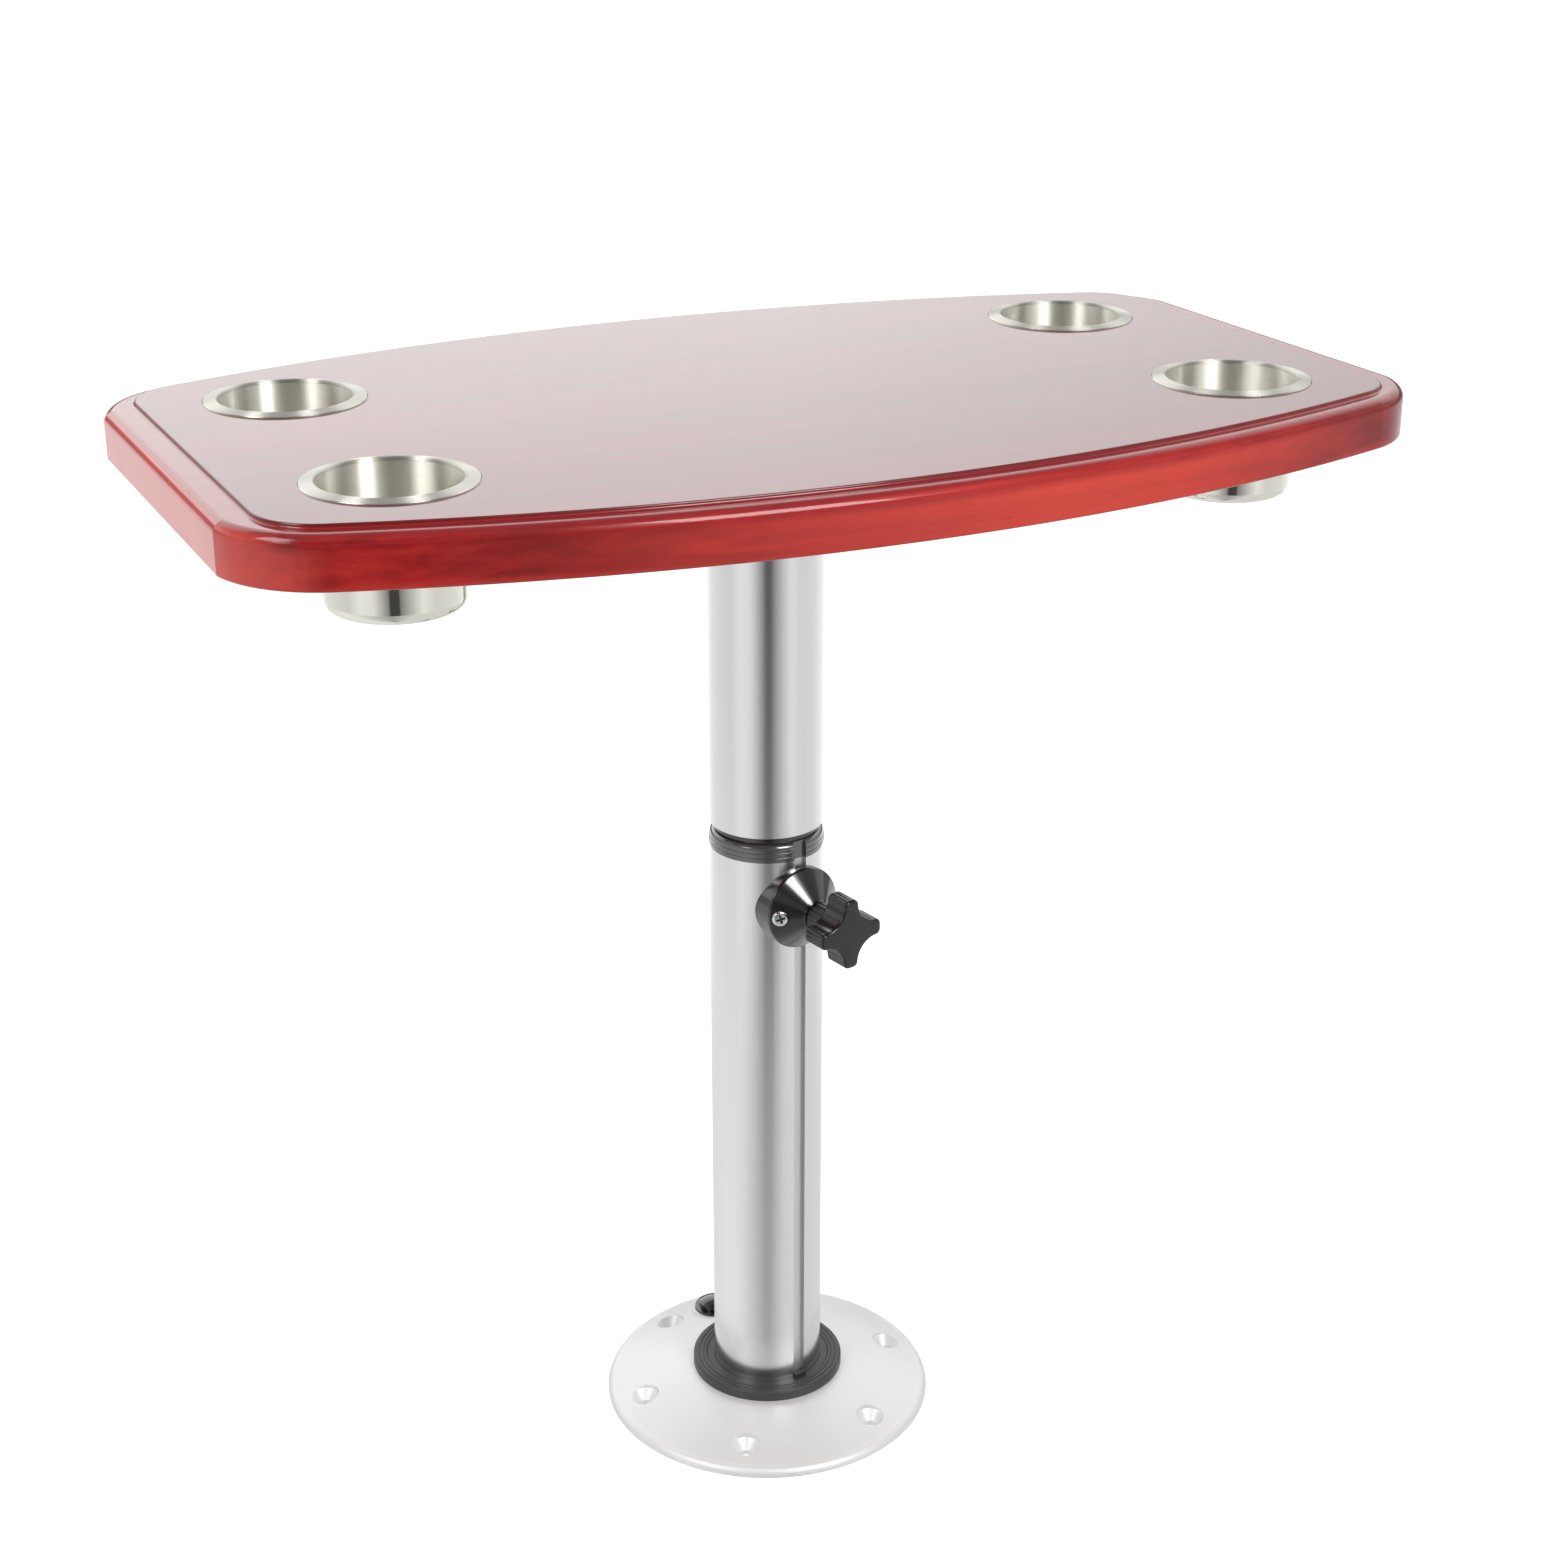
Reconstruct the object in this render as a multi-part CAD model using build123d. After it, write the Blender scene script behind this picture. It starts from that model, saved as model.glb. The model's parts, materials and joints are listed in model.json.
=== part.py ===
from build123d import *
import os
from math import asin, cos, radians, sin, sqrt

# Single-pole camper table: a lacquered wooden top with four cup holders on a telescopic aluminium pole.
# The pole plugs into a floor base and is held there by a spring latch with a push button.
# Millimetres, +Z up, origin on the floor at the pole's axis, X along the table's length.

# Table top
table_length = 640.0
table_width = 395.0
table_thickness = 28.0
table_height = 614.0
side_radius = 910.0
crease_inset = 88.5
corner_kink = 12.0
panel_end_inset = 17.0
panel_side_inset = 11.5
panel_corner = 34.0
panel_rise = 2.2
panel_round = 0.9
cove_radius = 1.2
edge_round = 6.0
underside_round = 1.5

# Cup holders
cup_end_inset = 88.5
cup_side_inset = 111.0
cup_flange_od = 84.0
cup_flange_width = 6.2
cup_flange_rise = 1.9
cup_roll = 1.6
cup_depth = 60.0
cup_draft = 0.8
cup_corner = 6.0
cup_sheet = 0.8
cup_hole_gap = 0.5

# Pole
tube_od = 63.5
tube_wall = 2.5
groove_width = 7.6
groove_depth = 2.2
rib_wall = 2.2
rib_gap = 0.95
inner_wall = 2.5
lower_tube_top = 357.5
upper_tube_bottom = 372.0
lift_travel = 150.0
guide_length = 32.0
slide_gap = 0.3
fit_gap = 0.15

# Collar between the two pole tubes
collar_height = 10.3
collar_round = 3.2
collar_sleeve = 14.0
collar_neck_step = 3.6
ring_rise = 2.6
ring_step = 1.4
ring_sleeve = 14.0

# Guide bush and end plug of the inner tube
lip_thickness = 3.0
lip_inset = 4.2
plug_head = 3.0
plug_spigot = 12.0
plug_wall = 3.0

# Clamp
clamp_angle = -79.0
clamp_height = 329.0
housing_od = 47.0
housing_skirt = 2.2
housing_nose_od = 18.0
housing_reach = 14.8
housing_round = 2.0
stud_d = 8.0
stud_gap = 0.1
pad_d = 10.4
pad_length = 5.0
pad_recess = 3.5
clamp_screw_turn = 26.0
clamp_screw_d = 4.0
clamp_screw_head_d = 9.2
clamp_screw_head = 2.6
clamp_screw_seat = 9.2
clamp_screw_tip = 1.0
knob_gap = 1.0
knob_hub_od = 16.4
knob_hub_length = 14.0
knob_span = 40.0
knob_lobe_width = 9.6
knob_waist_d = 24.0
knob_depth = 16.4
knob_tip_round = 3.2
knob_edge_round = 1.5
stud_in_knob = 14.0

# Base
base_od = 193.0
base_rim = 1.3
base_edge = 5.0
base_edge_rise = 5.4
base_edge_middle = 0.35
base_edge_bulge = 0.72
base_height = 16.0
base_wall = 3.2
base_foot_width = 8.5
base_bow = 1.2
bush_od = 89.0
bush_rise = 6.2
bush_round = 1.6
bush_sleeve = 5.6
bush_lip = 1.0
bush_lip_width = 4.0
socket_wall = 4.0
key_rise = 1.8
web_bottom = 5.7
web_thickness = 3.3
screw_hole_d = 6.6
screw_sink_d = 17.0
screw_circle_d = 156.6
screw_boss_d = 20.4
screw_count = 6
base_turn = -4.5
rib_thickness = 3.0
rib_clear = 0.6

# Pole foot and king pin
foot_flange = 2.0
foot_skirt = 26.0
foot_wall = 5.0
foot_floor = 8.0
foot_hub_d = 26.0
pin_d = 14.0
pin_neck_d = 9.6
pin_tip = 1.8
pin_chamfer = 0.8
nut_width = 19.0
nut_height = 7.0

# Release button and latch
button_angle = 93.0
button_inset = 26.5
button_d = 18.0
button_flange_d = 21.6
button_flange = 2.7
button_rise = 4.0
button_dome = 2.4
button_travel = 3.0
button_seat = 12.6
bezel_od = 24.4
bezel_rise = 1.2
bezel_sleeve_wall = 1.3
bezel_sleeve = 3.6
wedge_size = 1.8
wedge_gap = 0.05
latch_width = 16.0
latch_thickness = 2.4
latch_gap = 0.3
latch_tail = 24.0
latch_tab_width = 10.0
latch_tab_length = 6.0
spring_gap = 6.0
spring_thickness = 0.5
spring_half_span = 8.5
spring_play = 0.1
lug_thickness = 3.0
cover_thickness = 1.6
cover_width = 52.0
cover_length = 76.0
cover_corner = 6.0
cover_screw_inset = 7.0
cover_screw_d = 3.0
cover_screw_head_d = 5.6
cover_screw_head = 1.0
cover_screw_length = 4.0
cover_boss_d = 8.0

# Flange under the table
flange_od = 160.0
flange_rim = 3.0
flange_plate = 5.0
flange_socket = 20.0
flange_socket_wall = 5.5
flange_cone = 8.0
flange_screw_circle_d = 130.0
flange_screw_count = 6
flange_screw_d = 4.5
flange_screw_head_d = 9.0
flange_screw_head = 2.8
flange_screw_length = 18.0
flange_spigot = 12.0
set_screw_d = 6.0
set_screw_count = 3
set_screw_turn = 90.0

# Radii and levels that follow from the sizes above
tube_r = tube_od / 2
tube_bore_r = tube_r - tube_wall
groove_floor_r = tube_r - groove_depth
rib_face_r = groove_floor_r - rib_wall
rib_half = groove_width / 2 + rib_wall
inner_r = rib_face_r - rib_gap
inner_bore_r = inner_r - inner_wall
end_straight = table_width - 2 * crease_inset
table_bottom = table_height - table_thickness
pole_top = table_bottom - flange_plate
web_top = web_bottom + web_thickness
lower_tube_bottom = web_top + foot_flange
collar_top = lower_tube_top + collar_height
neck_top = upper_tube_bottom - ring_rise
neck_r = tube_r - collar_neck_step
ring_r = tube_r - ring_step
inner_tube_bottom = clamp_height - pad_d - lift_travel - guide_length
base_r = base_od / 2
button_radius = base_r - button_inset
bush_r = bush_od / 2
bush_bore_r = tube_r + fit_gap
socket_r = bush_bore_r + bush_sleeve
bush_top = base_height + bush_rise
latch_bottom = web_bottom - latch_gap - latch_thickness
cover_top = latch_bottom - latch_gap
rib_low = cover_top + rib_clear
above = 2 * table_height
near = 0.02


def turned(*edges):
    """Solid of revolution about the pole's axis from edges drawn as (radius, height)."""
    return revolve(make_face(Plane.XZ * (Curve() + list(edges))), Axis.Z)


def ring(inner, outer, low, high):
    """Plain ring about the pole's axis."""
    return turned(Polyline((inner, low), (outer, low), (outer, high), (inner, high), close=True))


def disc(radius, low, high):
    """Plain cylinder about the pole's axis."""
    return Pos(0, 0, low) * Cylinder(radius, high - low, align=(Align.CENTER, Align.CENTER, Align.MIN))


def bar(x_low, x_high, width, low, high):
    """Block along X, centred sideways."""
    block = Box(x_high - x_low, width, high - low, align=(Align.MIN, Align.CENTER, Align.MIN))
    return Pos(x_low, 0, low) * block


def rod(radius, start, end):
    """Cylinder that lies along X."""
    cylinder = Cylinder(radius, end - start, align=(Align.CENTER, Align.CENTER, Align.MIN))
    return Pos(start, 0, 0) * Rot(0, 90, 0) * cylinder


def around(count, turn=0.0):
    """Evenly spaced turns about the pole's axis."""
    return [Rot(0, 0, turn + 360.0 * index / count) for index in range(count)]


def at_clamp(shape):
    """Turns a piece drawn along +X at height 0 to the clamp's place on the pole."""
    return Rot(0, 0, clamp_angle) * Pos(0, 0, clamp_height) * shape


def at_groove(shape):
    """Turns a piece drawn along +X to the groove's side of the pole."""
    return Rot(0, 0, clamp_angle) * shape


def at_button(shape):
    """Turns a piece drawn along +X to the release button's side of the base."""
    return Rot(0, 0, button_angle) * shape


def clamp_screw_turns():
    """Turns of the two screws beside the clamp's axis."""
    return [Rot(0, 0, side * clamp_screw_turn) for side in (-1, 1)]


def rib_slot(gap, low, high):
    """Space that a piece inside the lower tube leaves for the tube's inner rib."""
    return at_groove(bar(0, tube_od, 2 * (rib_half + gap), low, high))


def side_arc(corner, inset):
    """Bowed side of the top, or a line parallel to it, from a corner to its mirror image."""
    return ThreePointArc(corner, Vector(0, table_width / 2 - inset), Vector(-corner.X, corner.Y))


def closed_outline(corner_edges, side, end_x, end_y):
    """Face inside two bowed sides and two straight ends, from the edges of one quarter."""
    upper = Curve() + corner_edges + [side] + [mirror(edge, Plane.YZ) for edge in corner_edges]
    end = Line(Vector(end_x, -end_y), Vector(end_x, end_y))
    return make_face(upper + mirror(upper, Plane.XZ) + [end, mirror(end, Plane.YZ)])


def table_outline():
    """Outline of the top: bowed sides run into corners that meet the straight ends at a crease."""
    half_length = table_length / 2
    side_centre = Vector(0, table_width / 2 - side_radius)
    crease = Vector(half_length, end_straight / 2)
    inward = Vector(-cos(radians(corner_kink)), -sin(radians(corner_kink)))
    to_crease = crease - side_centre
    across = side_radius**2 - to_crease.length**2
    corner_r = across / (2 * (side_radius + to_crease.dot(inward)))
    centre = crease + inward * corner_r
    outward = (centre - side_centre).normalized()
    side_point = centre + outward * corner_r
    middle_point = centre + (outward - inward).normalized() * corner_r
    corner = ThreePointArc(crease, middle_point, side_point)
    return closed_outline([corner], side_arc(side_point, 0), half_length, end_straight / 2)


def panel_outline():
    """Outline of the raised panel: parallel to the top's sides and ends, with plain rounded corners."""
    end_x = table_length / 2 - panel_end_inset
    radius = side_radius - panel_side_inset
    end_y = table_width / 2 - side_radius + sqrt(radius**2 - end_x**2)
    side = side_arc(Vector(end_x, end_y), panel_side_inset)
    face = closed_outline([], side, end_x, end_y)
    return fillet(face.vertices(), panel_corner)


def edges_on(shape, line, level):
    """Edges of a shape that lie on a flat line raised to a level."""
    raised = line.moved(Pos(0, 0, level))
    level_edges = [edge for edge in shape.edges() if abs(edge.center().Z - level) < near]
    return [edge for edge in level_edges if raised.distance_to(edge.position_at(0.5)) < near]


def cup_places():
    """Centres of the four cup holders, by name."""
    x = table_length / 2 - cup_end_inset
    y = table_width / 2 - cup_side_inset
    return {
        "front_left": Pos(-x, -y, 0),
        "front_right": Pos(x, -y, 0),
        "back_left": Pos(-x, y, 0),
        "back_right": Pos(x, y, 0),
    }


cup_mouth_r = cup_flange_od / 2 - cup_flange_width
cup_wall_r = cup_mouth_r - cup_roll + cup_sheet
cup_hole_r = cup_wall_r + cup_hole_gap


def table_top():
    """Board with a raised panel inside a coved and rounded edge, bored for cups and flange screws."""
    shoulder = table_height - panel_rise
    board = Pos(0, 0, table_bottom) * extrude(table_outline(), shoulder - table_bottom)
    board = fillet(board.edges().group_by(Axis.Z)[-1], edge_round)
    board = fillet(board.edges().group_by(Axis.Z)[0], underside_round)
    panel = Pos(0, 0, shoulder) * extrude(panel_outline(), panel_rise)
    board = board + panel
    board = fillet(board.edges().group_by(Axis.Z)[-1], panel_round)
    board = fillet(edges_on(board, panel_outline().wire(), shoulder), cove_radius)
    for place in cup_places().values():
        board = board - place * disc(cup_hole_r, table_bottom - 1, table_height + 1)
    for turn in around(flange_screw_count):
        pilot = disc(flange_screw_d / 2, table_bottom - 1, table_bottom - flange_plate + flange_screw_length)
        board = board - turn * Pos(flange_screw_circle_d / 2, 0, 0) * pilot
    return board


def cup_holder():
    """Drawn sheet cup with a slight draft, a rounded bottom corner and a flange that rises to the mouth."""
    low = table_height - cup_depth
    flange_r = cup_flange_od / 2
    floor_r = cup_wall_r - cup_draft
    inner_corner = cup_corner - cup_sheet
    flange_top = table_height + cup_flange_rise
    corner_x = floor_r - cup_corner
    corner_z = low + cup_corner
    outer_corner = CenterArc((corner_x, corner_z), cup_corner, 270, 90)
    inside_corner = CenterArc((corner_x, corner_z), inner_corner, 270, 90)
    roll = CenterArc((cup_mouth_r, flange_top - cup_roll), cup_roll, 90, 90)
    under = Polyline((floor_r, corner_z), (cup_wall_r, table_height), (flange_r, table_height))
    edge = Polyline(
        (flange_r, table_height),
        (flange_r, table_height + cup_sheet / 2),
        (flange_r - cup_sheet / 2, table_height + cup_sheet),
        (cup_mouth_r, flange_top),
    )
    wall = Line((cup_mouth_r - cup_roll, flange_top - cup_roll), (floor_r - cup_sheet, corner_z))
    floor = Polyline((corner_x, low + cup_sheet), (0, low + cup_sheet), (0, low), (corner_x, low))
    return turned(outer_corner, under, edge, roll, wall, inside_corner, floor)


def lower_tube():
    """Extruded tube with a groove down one side and its wall carried round the groove as an inner rib."""
    tube = ring(tube_bore_r, tube_r, lower_tube_bottom, lower_tube_top)
    bore = disc(rib_face_r, lower_tube_bottom, lower_tube_top)
    rib = at_groove(bar(0, tube_r - tube_wall / 2, 2 * rib_half, lower_tube_bottom, lower_tube_top)) - bore
    groove = at_groove(bar(0, tube_od, groove_width, lower_tube_bottom, lower_tube_top))
    groove = groove - disc(groove_floor_r, lower_tube_bottom, lower_tube_top)
    tube = tube + rib - groove
    tube = tube - at_clamp(rod(pad_d / 2 + slide_gap, inner_r, tube_od))
    for turn in clamp_screw_turns():
        tube = tube - at_clamp(turn * rod(clamp_screw_d / 2, 0, tube_od))
    return tube


def collar_bush():
    """Bush on the lower tube: keyed sleeve inside, flange notched over the groove, stepped neck."""
    bore = inner_r + slide_gap
    low = lower_tube_top - collar_sleeve
    sleeve = ring(bore, tube_bore_r, low, lower_tube_top) - rib_slot(fit_gap, low, lower_tube_top)
    flange = turned(
        Polyline((bore, lower_tube_top), (tube_r, lower_tube_top), (tube_r, collar_top - collar_round)),
        CenterArc((tube_r - collar_round, collar_top - collar_round), collar_round, 0, 90),
        Polyline((tube_r - collar_round, collar_top), (neck_r, collar_top), (neck_r, neck_top)),
        Polyline((neck_r, neck_top), (bore, neck_top), (bore, lower_tube_top)),
    )
    notch = bar(groove_floor_r, tube_od, groove_width, lower_tube_top, collar_top)
    return sleeve + flange - at_groove(notch)


def upper_tube():
    """Plain outer tube of the moving half of the pole."""
    return ring(tube_bore_r, tube_r, upper_tube_bottom, pole_top)


def upper_tube_ring():
    """Ring plugged into the foot of the upper tube; it centres the inner tube and lands on the collar."""
    step = ring(inner_r, ring_r, neck_top, upper_tube_bottom)
    return step + ring(inner_r, tube_bore_r, upper_tube_bottom, upper_tube_bottom + ring_sleeve)


def inner_tube():
    """Plain tube that carries the table and slides in the lower tube."""
    return ring(inner_bore_r, inner_r, inner_tube_bottom, pole_top)


def guide_bush():
    """Sliding bush keyed on the lower tube's rib; the inner tube turns in it on a full inner lip."""
    low = inner_tube_bottom - lip_thickness
    high = inner_tube_bottom + guide_length - lip_thickness
    sleeve = ring(inner_r + slide_gap, tube_bore_r - slide_gap, low, high)
    sleeve = sleeve - rib_slot(slide_gap, low, high)
    return sleeve + ring(inner_r - lip_inset, inner_r + slide_gap, low, inner_tube_bottom)


def inner_tube_plug():
    """End plug pressed into the inner tube; its head traps the guide bush's lip."""
    neck_r_plug = inner_r - lip_inset - slide_gap
    lip_low = inner_tube_bottom - lip_thickness - slide_gap
    head = disc(inner_r - lip_inset / 4, lip_low - plug_head, lip_low)
    neck = disc(neck_r_plug, lip_low, inner_tube_bottom)
    spigot = disc(inner_bore_r, inner_tube_bottom, inner_tube_bottom + plug_spigot)
    hollow = disc(neck_r_plug - plug_wall, lip_low, inner_tube_bottom + plug_spigot)
    return head + neck + spigot - hollow


housing_shoulder = tube_r + housing_skirt
housing_end = tube_r + housing_reach
pad_face = inner_r + slide_gap
pad_back = pad_face + pad_length
clamp_seat = tube_r + clamp_screw_seat
hub_start = housing_end + knob_gap
head_start = hub_start + knob_hub_length


def clamp_housing():
    """Bell-shaped boss saddled on the tube, bored for the stud, the pad's travel and its two screws."""
    radius = housing_od / 2
    nose = housing_nose_od / 2
    profile = Polyline(
        (0, 0),
        (0, radius),
        (housing_shoulder, radius),
        (housing_end - housing_round / 2, nose),
        (housing_end, nose - housing_round / 2),
        (housing_end, 0),
        close=True,
    )
    bell = revolve(make_face(profile), Axis.X)
    rims = bell.edges().filter_by(GeomType.CIRCLE)
    bell = fillet([rim for rim in rims if abs(rim.center().X - housing_shoulder) < near], housing_round)
    bell = bell - Pos(0, 0, -housing_od) * disc(tube_r, 0, 2 * housing_od)
    bell = bell - rod(stud_d / 2 + stud_gap, 0, housing_end + 1)
    bell = bell - rod(pad_d / 2 + slide_gap, 0, tube_r + pad_recess)
    for turn in clamp_screw_turns():
        bell = bell - turn * rod(clamp_screw_d / 2, 0, clamp_seat)
        bell = bell - turn * rod(clamp_screw_head_d / 2 + fit_gap, clamp_seat, housing_end)
    return at_clamp(bell)


def clamp_housing_screws():
    """Two pan-head screws through the housing into the lower tube's wall."""
    head = rod(clamp_screw_head_d / 2, clamp_seat, clamp_seat + clamp_screw_head)
    rim = head.edges().filter_by(GeomType.CIRCLE).sort_by(Axis.X)[-1]
    head = fillet(rim, clamp_screw_head / 2)
    screw = head + rod(clamp_screw_d / 2, tube_bore_r - clamp_screw_tip, clamp_seat)
    return Compound(children=[at_clamp(turn * screw) for turn in clamp_screw_turns()])


def pressure_pad():
    """Plug that the stud pushes through the lower tube's wall on to the inner tube."""
    plug = rod(pad_d / 2, 0, pad_back) - Pos(0, 0, -pad_d) * disc(pad_face, 0, 2 * pad_d)
    return at_clamp(plug)


def clamp_stud():
    """Stud moulded into the knob; its flat tip bears on the pad."""
    return at_clamp(rod(stud_d / 2, pad_back, head_start + stud_in_knob))


def clamp_knob():
    """Four-lobed knob with hollowed sides on a round hub."""
    tip = knob_span / 2
    half = knob_lobe_width / 2
    waist = knob_waist_d / 2 * sqrt(0.5)
    lobe_end = Line((tip, -half), (tip, half))
    hollow = ThreePointArc((tip, half), (waist, waist), (half, tip))
    quarter = Curve() + [lobe_end, hollow]
    outline = Curve()
    for turn in around(4):
        outline = outline + turn * quarter
    star = extrude(make_face(outline), knob_depth)
    star = fillet(star.edges().filter_by(Axis.Z), knob_tip_round)
    rims = star.edges().group_by(Axis.Z)
    star = fillet(rims[0] + rims[-1], knob_edge_round)
    head = Pos(head_start, 0, 0) * Rot(0, 90, 0) * star
    hub = rod(knob_hub_od / 2, hub_start, head_start)
    return at_clamp(head + hub - rod(stud_d / 2, hub_start, head_start + stud_in_knob))


base_edge_r = base_r - base_edge
screw_circle_r = screw_circle_d / 2
rim_inner_r = base_r - base_foot_width
socket_outer_r = socket_r + socket_wall


def base_level(radius):
    """Height of the base's sloping face at a radius, before its slight bow."""
    share = (base_edge_r - radius) / (base_edge_r - bush_r)
    return base_edge_rise + (base_height - base_edge_rise) * share


def base_crown():
    """Outer form of the base: low rim, rounded edge, slightly bowed slope and a flat seat for the bush."""
    middle_r = (base_edge_r + bush_r) / 2
    edge = ThreePointArc(
        (base_r, base_rim),
        (base_r - base_edge * base_edge_middle, base_rim + (base_edge_rise - base_rim) * base_edge_bulge),
        (base_edge_r, base_edge_rise),
    )
    slope = ThreePointArc(
        (base_edge_r, base_edge_rise),
        (middle_r, base_level(middle_r) + base_bow),
        (bush_r, base_height),
    )
    seat = Polyline((bush_r, base_height), (0, base_height), (0, 0), (base_r, 0), (base_r, base_rim))
    return turned(edge, slope, seat)


def base_cavity():
    """Hollow under the base, one wall below the slope, with a flat web over the latch."""
    middle_r = (rim_inner_r + socket_outer_r) / 2
    edge_level = base_level(rim_inner_r) - base_wall
    roof = ThreePointArc(
        (rim_inner_r, edge_level),
        (middle_r, base_level(middle_r) + base_bow - base_wall),
        (socket_outer_r, base_height - base_wall),
    )
    walls = Polyline((socket_outer_r, base_height - base_wall), (socket_outer_r, web_bottom), (0, web_bottom))
    floor = Polyline((0, web_bottom), (0, -1), (rim_inner_r, -1), (rim_inner_r, edge_level))
    return turned(roof, walls, floor)


def base_plate():
    """Cast base: hollow crown with screw bosses, ribs, the pole's socket and the latch's guides."""
    crown = base_crown()
    inside = Part()
    for turn in around(screw_count, base_turn):
        inside = inside + turn * Pos(screw_circle_r, 0, 0) * disc(screw_boss_d / 2, 0, base_height)
        inside = inside + turn * bar(socket_outer_r - 1, rim_inner_r + 1, rib_thickness, rib_low, base_height)
    plate = crown - (base_cavity() - inside)
    plate = plate - disc(socket_r, web_top, above) - disc(pin_d / 2 + slide_gap, 0, above)
    sink = screw_sink_d / 2
    hole = screw_hole_d / 2
    sink_top = base_level(screw_circle_r)
    tool = turned(
        Polyline((0, -1), (hole, -1), (hole, sink_top - sink + hole), (sink, sink_top)),
        Polyline((sink, sink_top), (sink, above), (0, above), (0, -1)),
    )
    for turn in around(screw_count, base_turn):
        plate = plate - turn * Pos(screw_circle_r, 0, 0) * tool
    return plate + latch_guides() - button_bore() + button_boss()


bezel_bore_r = button_d / 2 + slide_gap
bezel_sleeve_r = bezel_bore_r + bezel_sleeve_wall
button_pocket_r = button_flange_d / 2 + latch_gap
button_boss_r = button_pocket_r + base_wall
button_boss_low = button_seat - bezel_sleeve


def button_boss():
    """Flat-topped boss for the button's bezel, with a skirt round the button's flange."""
    skirt = ring(button_pocket_r, button_boss_r, button_boss_low - button_flange, button_boss_low)
    boss = skirt + ring(bezel_sleeve_r, button_boss_r, button_boss_low, button_seat)
    return at_button(Pos(button_radius, 0, 0) * boss - bar(0, button_radius, latch_width, 0, button_boss_low))


def button_bore():
    """Hole and flat spot face for the button's bezel."""
    return at_button(Pos(button_radius, 0, 0) * disc(button_boss_r, 0, above))


flange_top_level = button_boss_low - spring_play
lug_face = -latch_tail - spring_gap


def cover_screw_places():
    """Places of the cover's screws, along and across the latch."""
    x = cover_length / 2 - cover_screw_inset
    y = cover_width / 2 - cover_screw_inset
    return [Pos(sx * x, sy * y, 0) for sx in (-1, 1) for sy in (-1, 1)]


def latch_guides():
    """Guides beside the latch, the lug behind its spring and the cover's bosses, cast under the web."""
    guide_y = latch_width / 2 + latch_gap + rib_thickness / 2
    pieces = bar(lug_face - lug_thickness, lug_face, 2 * spring_half_span + 2, cover_top, web_bottom)
    for side in (-1, 1):
        rail = bar(-latch_tail, pin_d, rib_thickness, cover_top, web_bottom)
        pieces = pieces + Pos(0, side * guide_y, 0) * rail
    for place in cover_screw_places():
        boss = disc(cover_boss_d / 2, cover_top, web_bottom)
        pieces = pieces + place * (boss - disc(cover_screw_d / 2, cover_top, web_bottom))
    return at_button(pieces)


def base_bush():
    """Ring and sleeve that line the base's socket, with a key that fills the foot of the tube's groove."""
    edge = CenterArc((bush_r - bush_round, bush_top - bush_round), bush_round, 0, 90)
    lip_r = bush_bore_r + bush_lip_width
    body = turned(
        edge,
        Polyline(
            (bush_r - bush_round, bush_top),
            (lip_r + bush_lip, bush_top),
            (lip_r, bush_top - bush_lip),
            (bush_bore_r, bush_top - bush_lip),
            (bush_bore_r, web_top),
            (socket_r, web_top),
            (socket_r, base_height),
            (bush_r, base_height),
            (bush_r, bush_top - bush_round),
        ),
    )
    key = bar(groove_floor_r + fit_gap, bush_bore_r + bush_lip_width / 2, groove_width - 2 * fit_gap,
              lower_tube_bottom, bush_top + key_rise)
    return body + at_groove(key)


def tube_foot():
    """Foot plugged into the lower tube: flange under the tube's end, keyed skirt, hub for the king pin."""
    high = lower_tube_bottom + foot_skirt
    skirt = ring(tube_bore_r - foot_wall, tube_bore_r, lower_tube_bottom, high)
    floor = disc(tube_bore_r, lower_tube_bottom, lower_tube_bottom + foot_floor)
    hub = disc(foot_hub_d / 2, lower_tube_bottom, high - nut_height)
    body = skirt + floor + hub - rib_slot(fit_gap, lower_tube_bottom, high)
    body = body + disc(tube_r, web_top, lower_tube_bottom)
    key_slot = bar(groove_floor_r, tube_od, groove_width, web_top, lower_tube_bottom)
    return body - disc(pin_d / 2, web_top, high) - at_groove(key_slot)


def king_pin():
    """Pin under the pole's foot, necked for the latch and chamfered at its tip."""
    neck_low = latch_bottom - latch_gap / 2
    tip_low = neck_low - pin_tip
    top = lower_tube_bottom + foot_skirt
    radius = pin_d / 2
    neck = pin_neck_d / 2
    return turned(
        Polyline(
            (0, tip_low),
            (radius - pin_chamfer, tip_low),
            (radius, tip_low + pin_chamfer),
            (radius, neck_low),
            (neck, neck_low),
            (neck, web_bottom - latch_gap / 2),
            (radius, web_bottom - latch_gap / 2),
            (radius, top - nut_height),
            (neck, top - nut_height),
            (neck, top),
            (0, top),
            close=True,
        )
    )


def king_pin_nut():
    """Nut that draws the king pin into the foot."""
    top = lower_tube_bottom + foot_skirt
    hexagon = extrude(RegularPolygon(nut_width / 2, 6, major_radius=False), nut_height)
    return Pos(0, 0, top - nut_height) * hexagon - disc(pin_neck_d / 2, 0, above)


def wedge_level():
    """Sum of distance and height on the 45-degree face where the button meets the latch."""
    flange_low = flange_top_level - button_flange
    return button_radius - button_flange_d / 2 + 1 + flange_low + wedge_size


def below_wedge(level):
    """Everything inward of and under the 45-degree face."""
    block = Box(4 * base_r, 4 * base_r, 4 * base_r, align=(Align.MAX, Align.CENTER, Align.CENTER))
    return Pos(level, 0, 0) * Rot(0, -45, 0) * block


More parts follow.
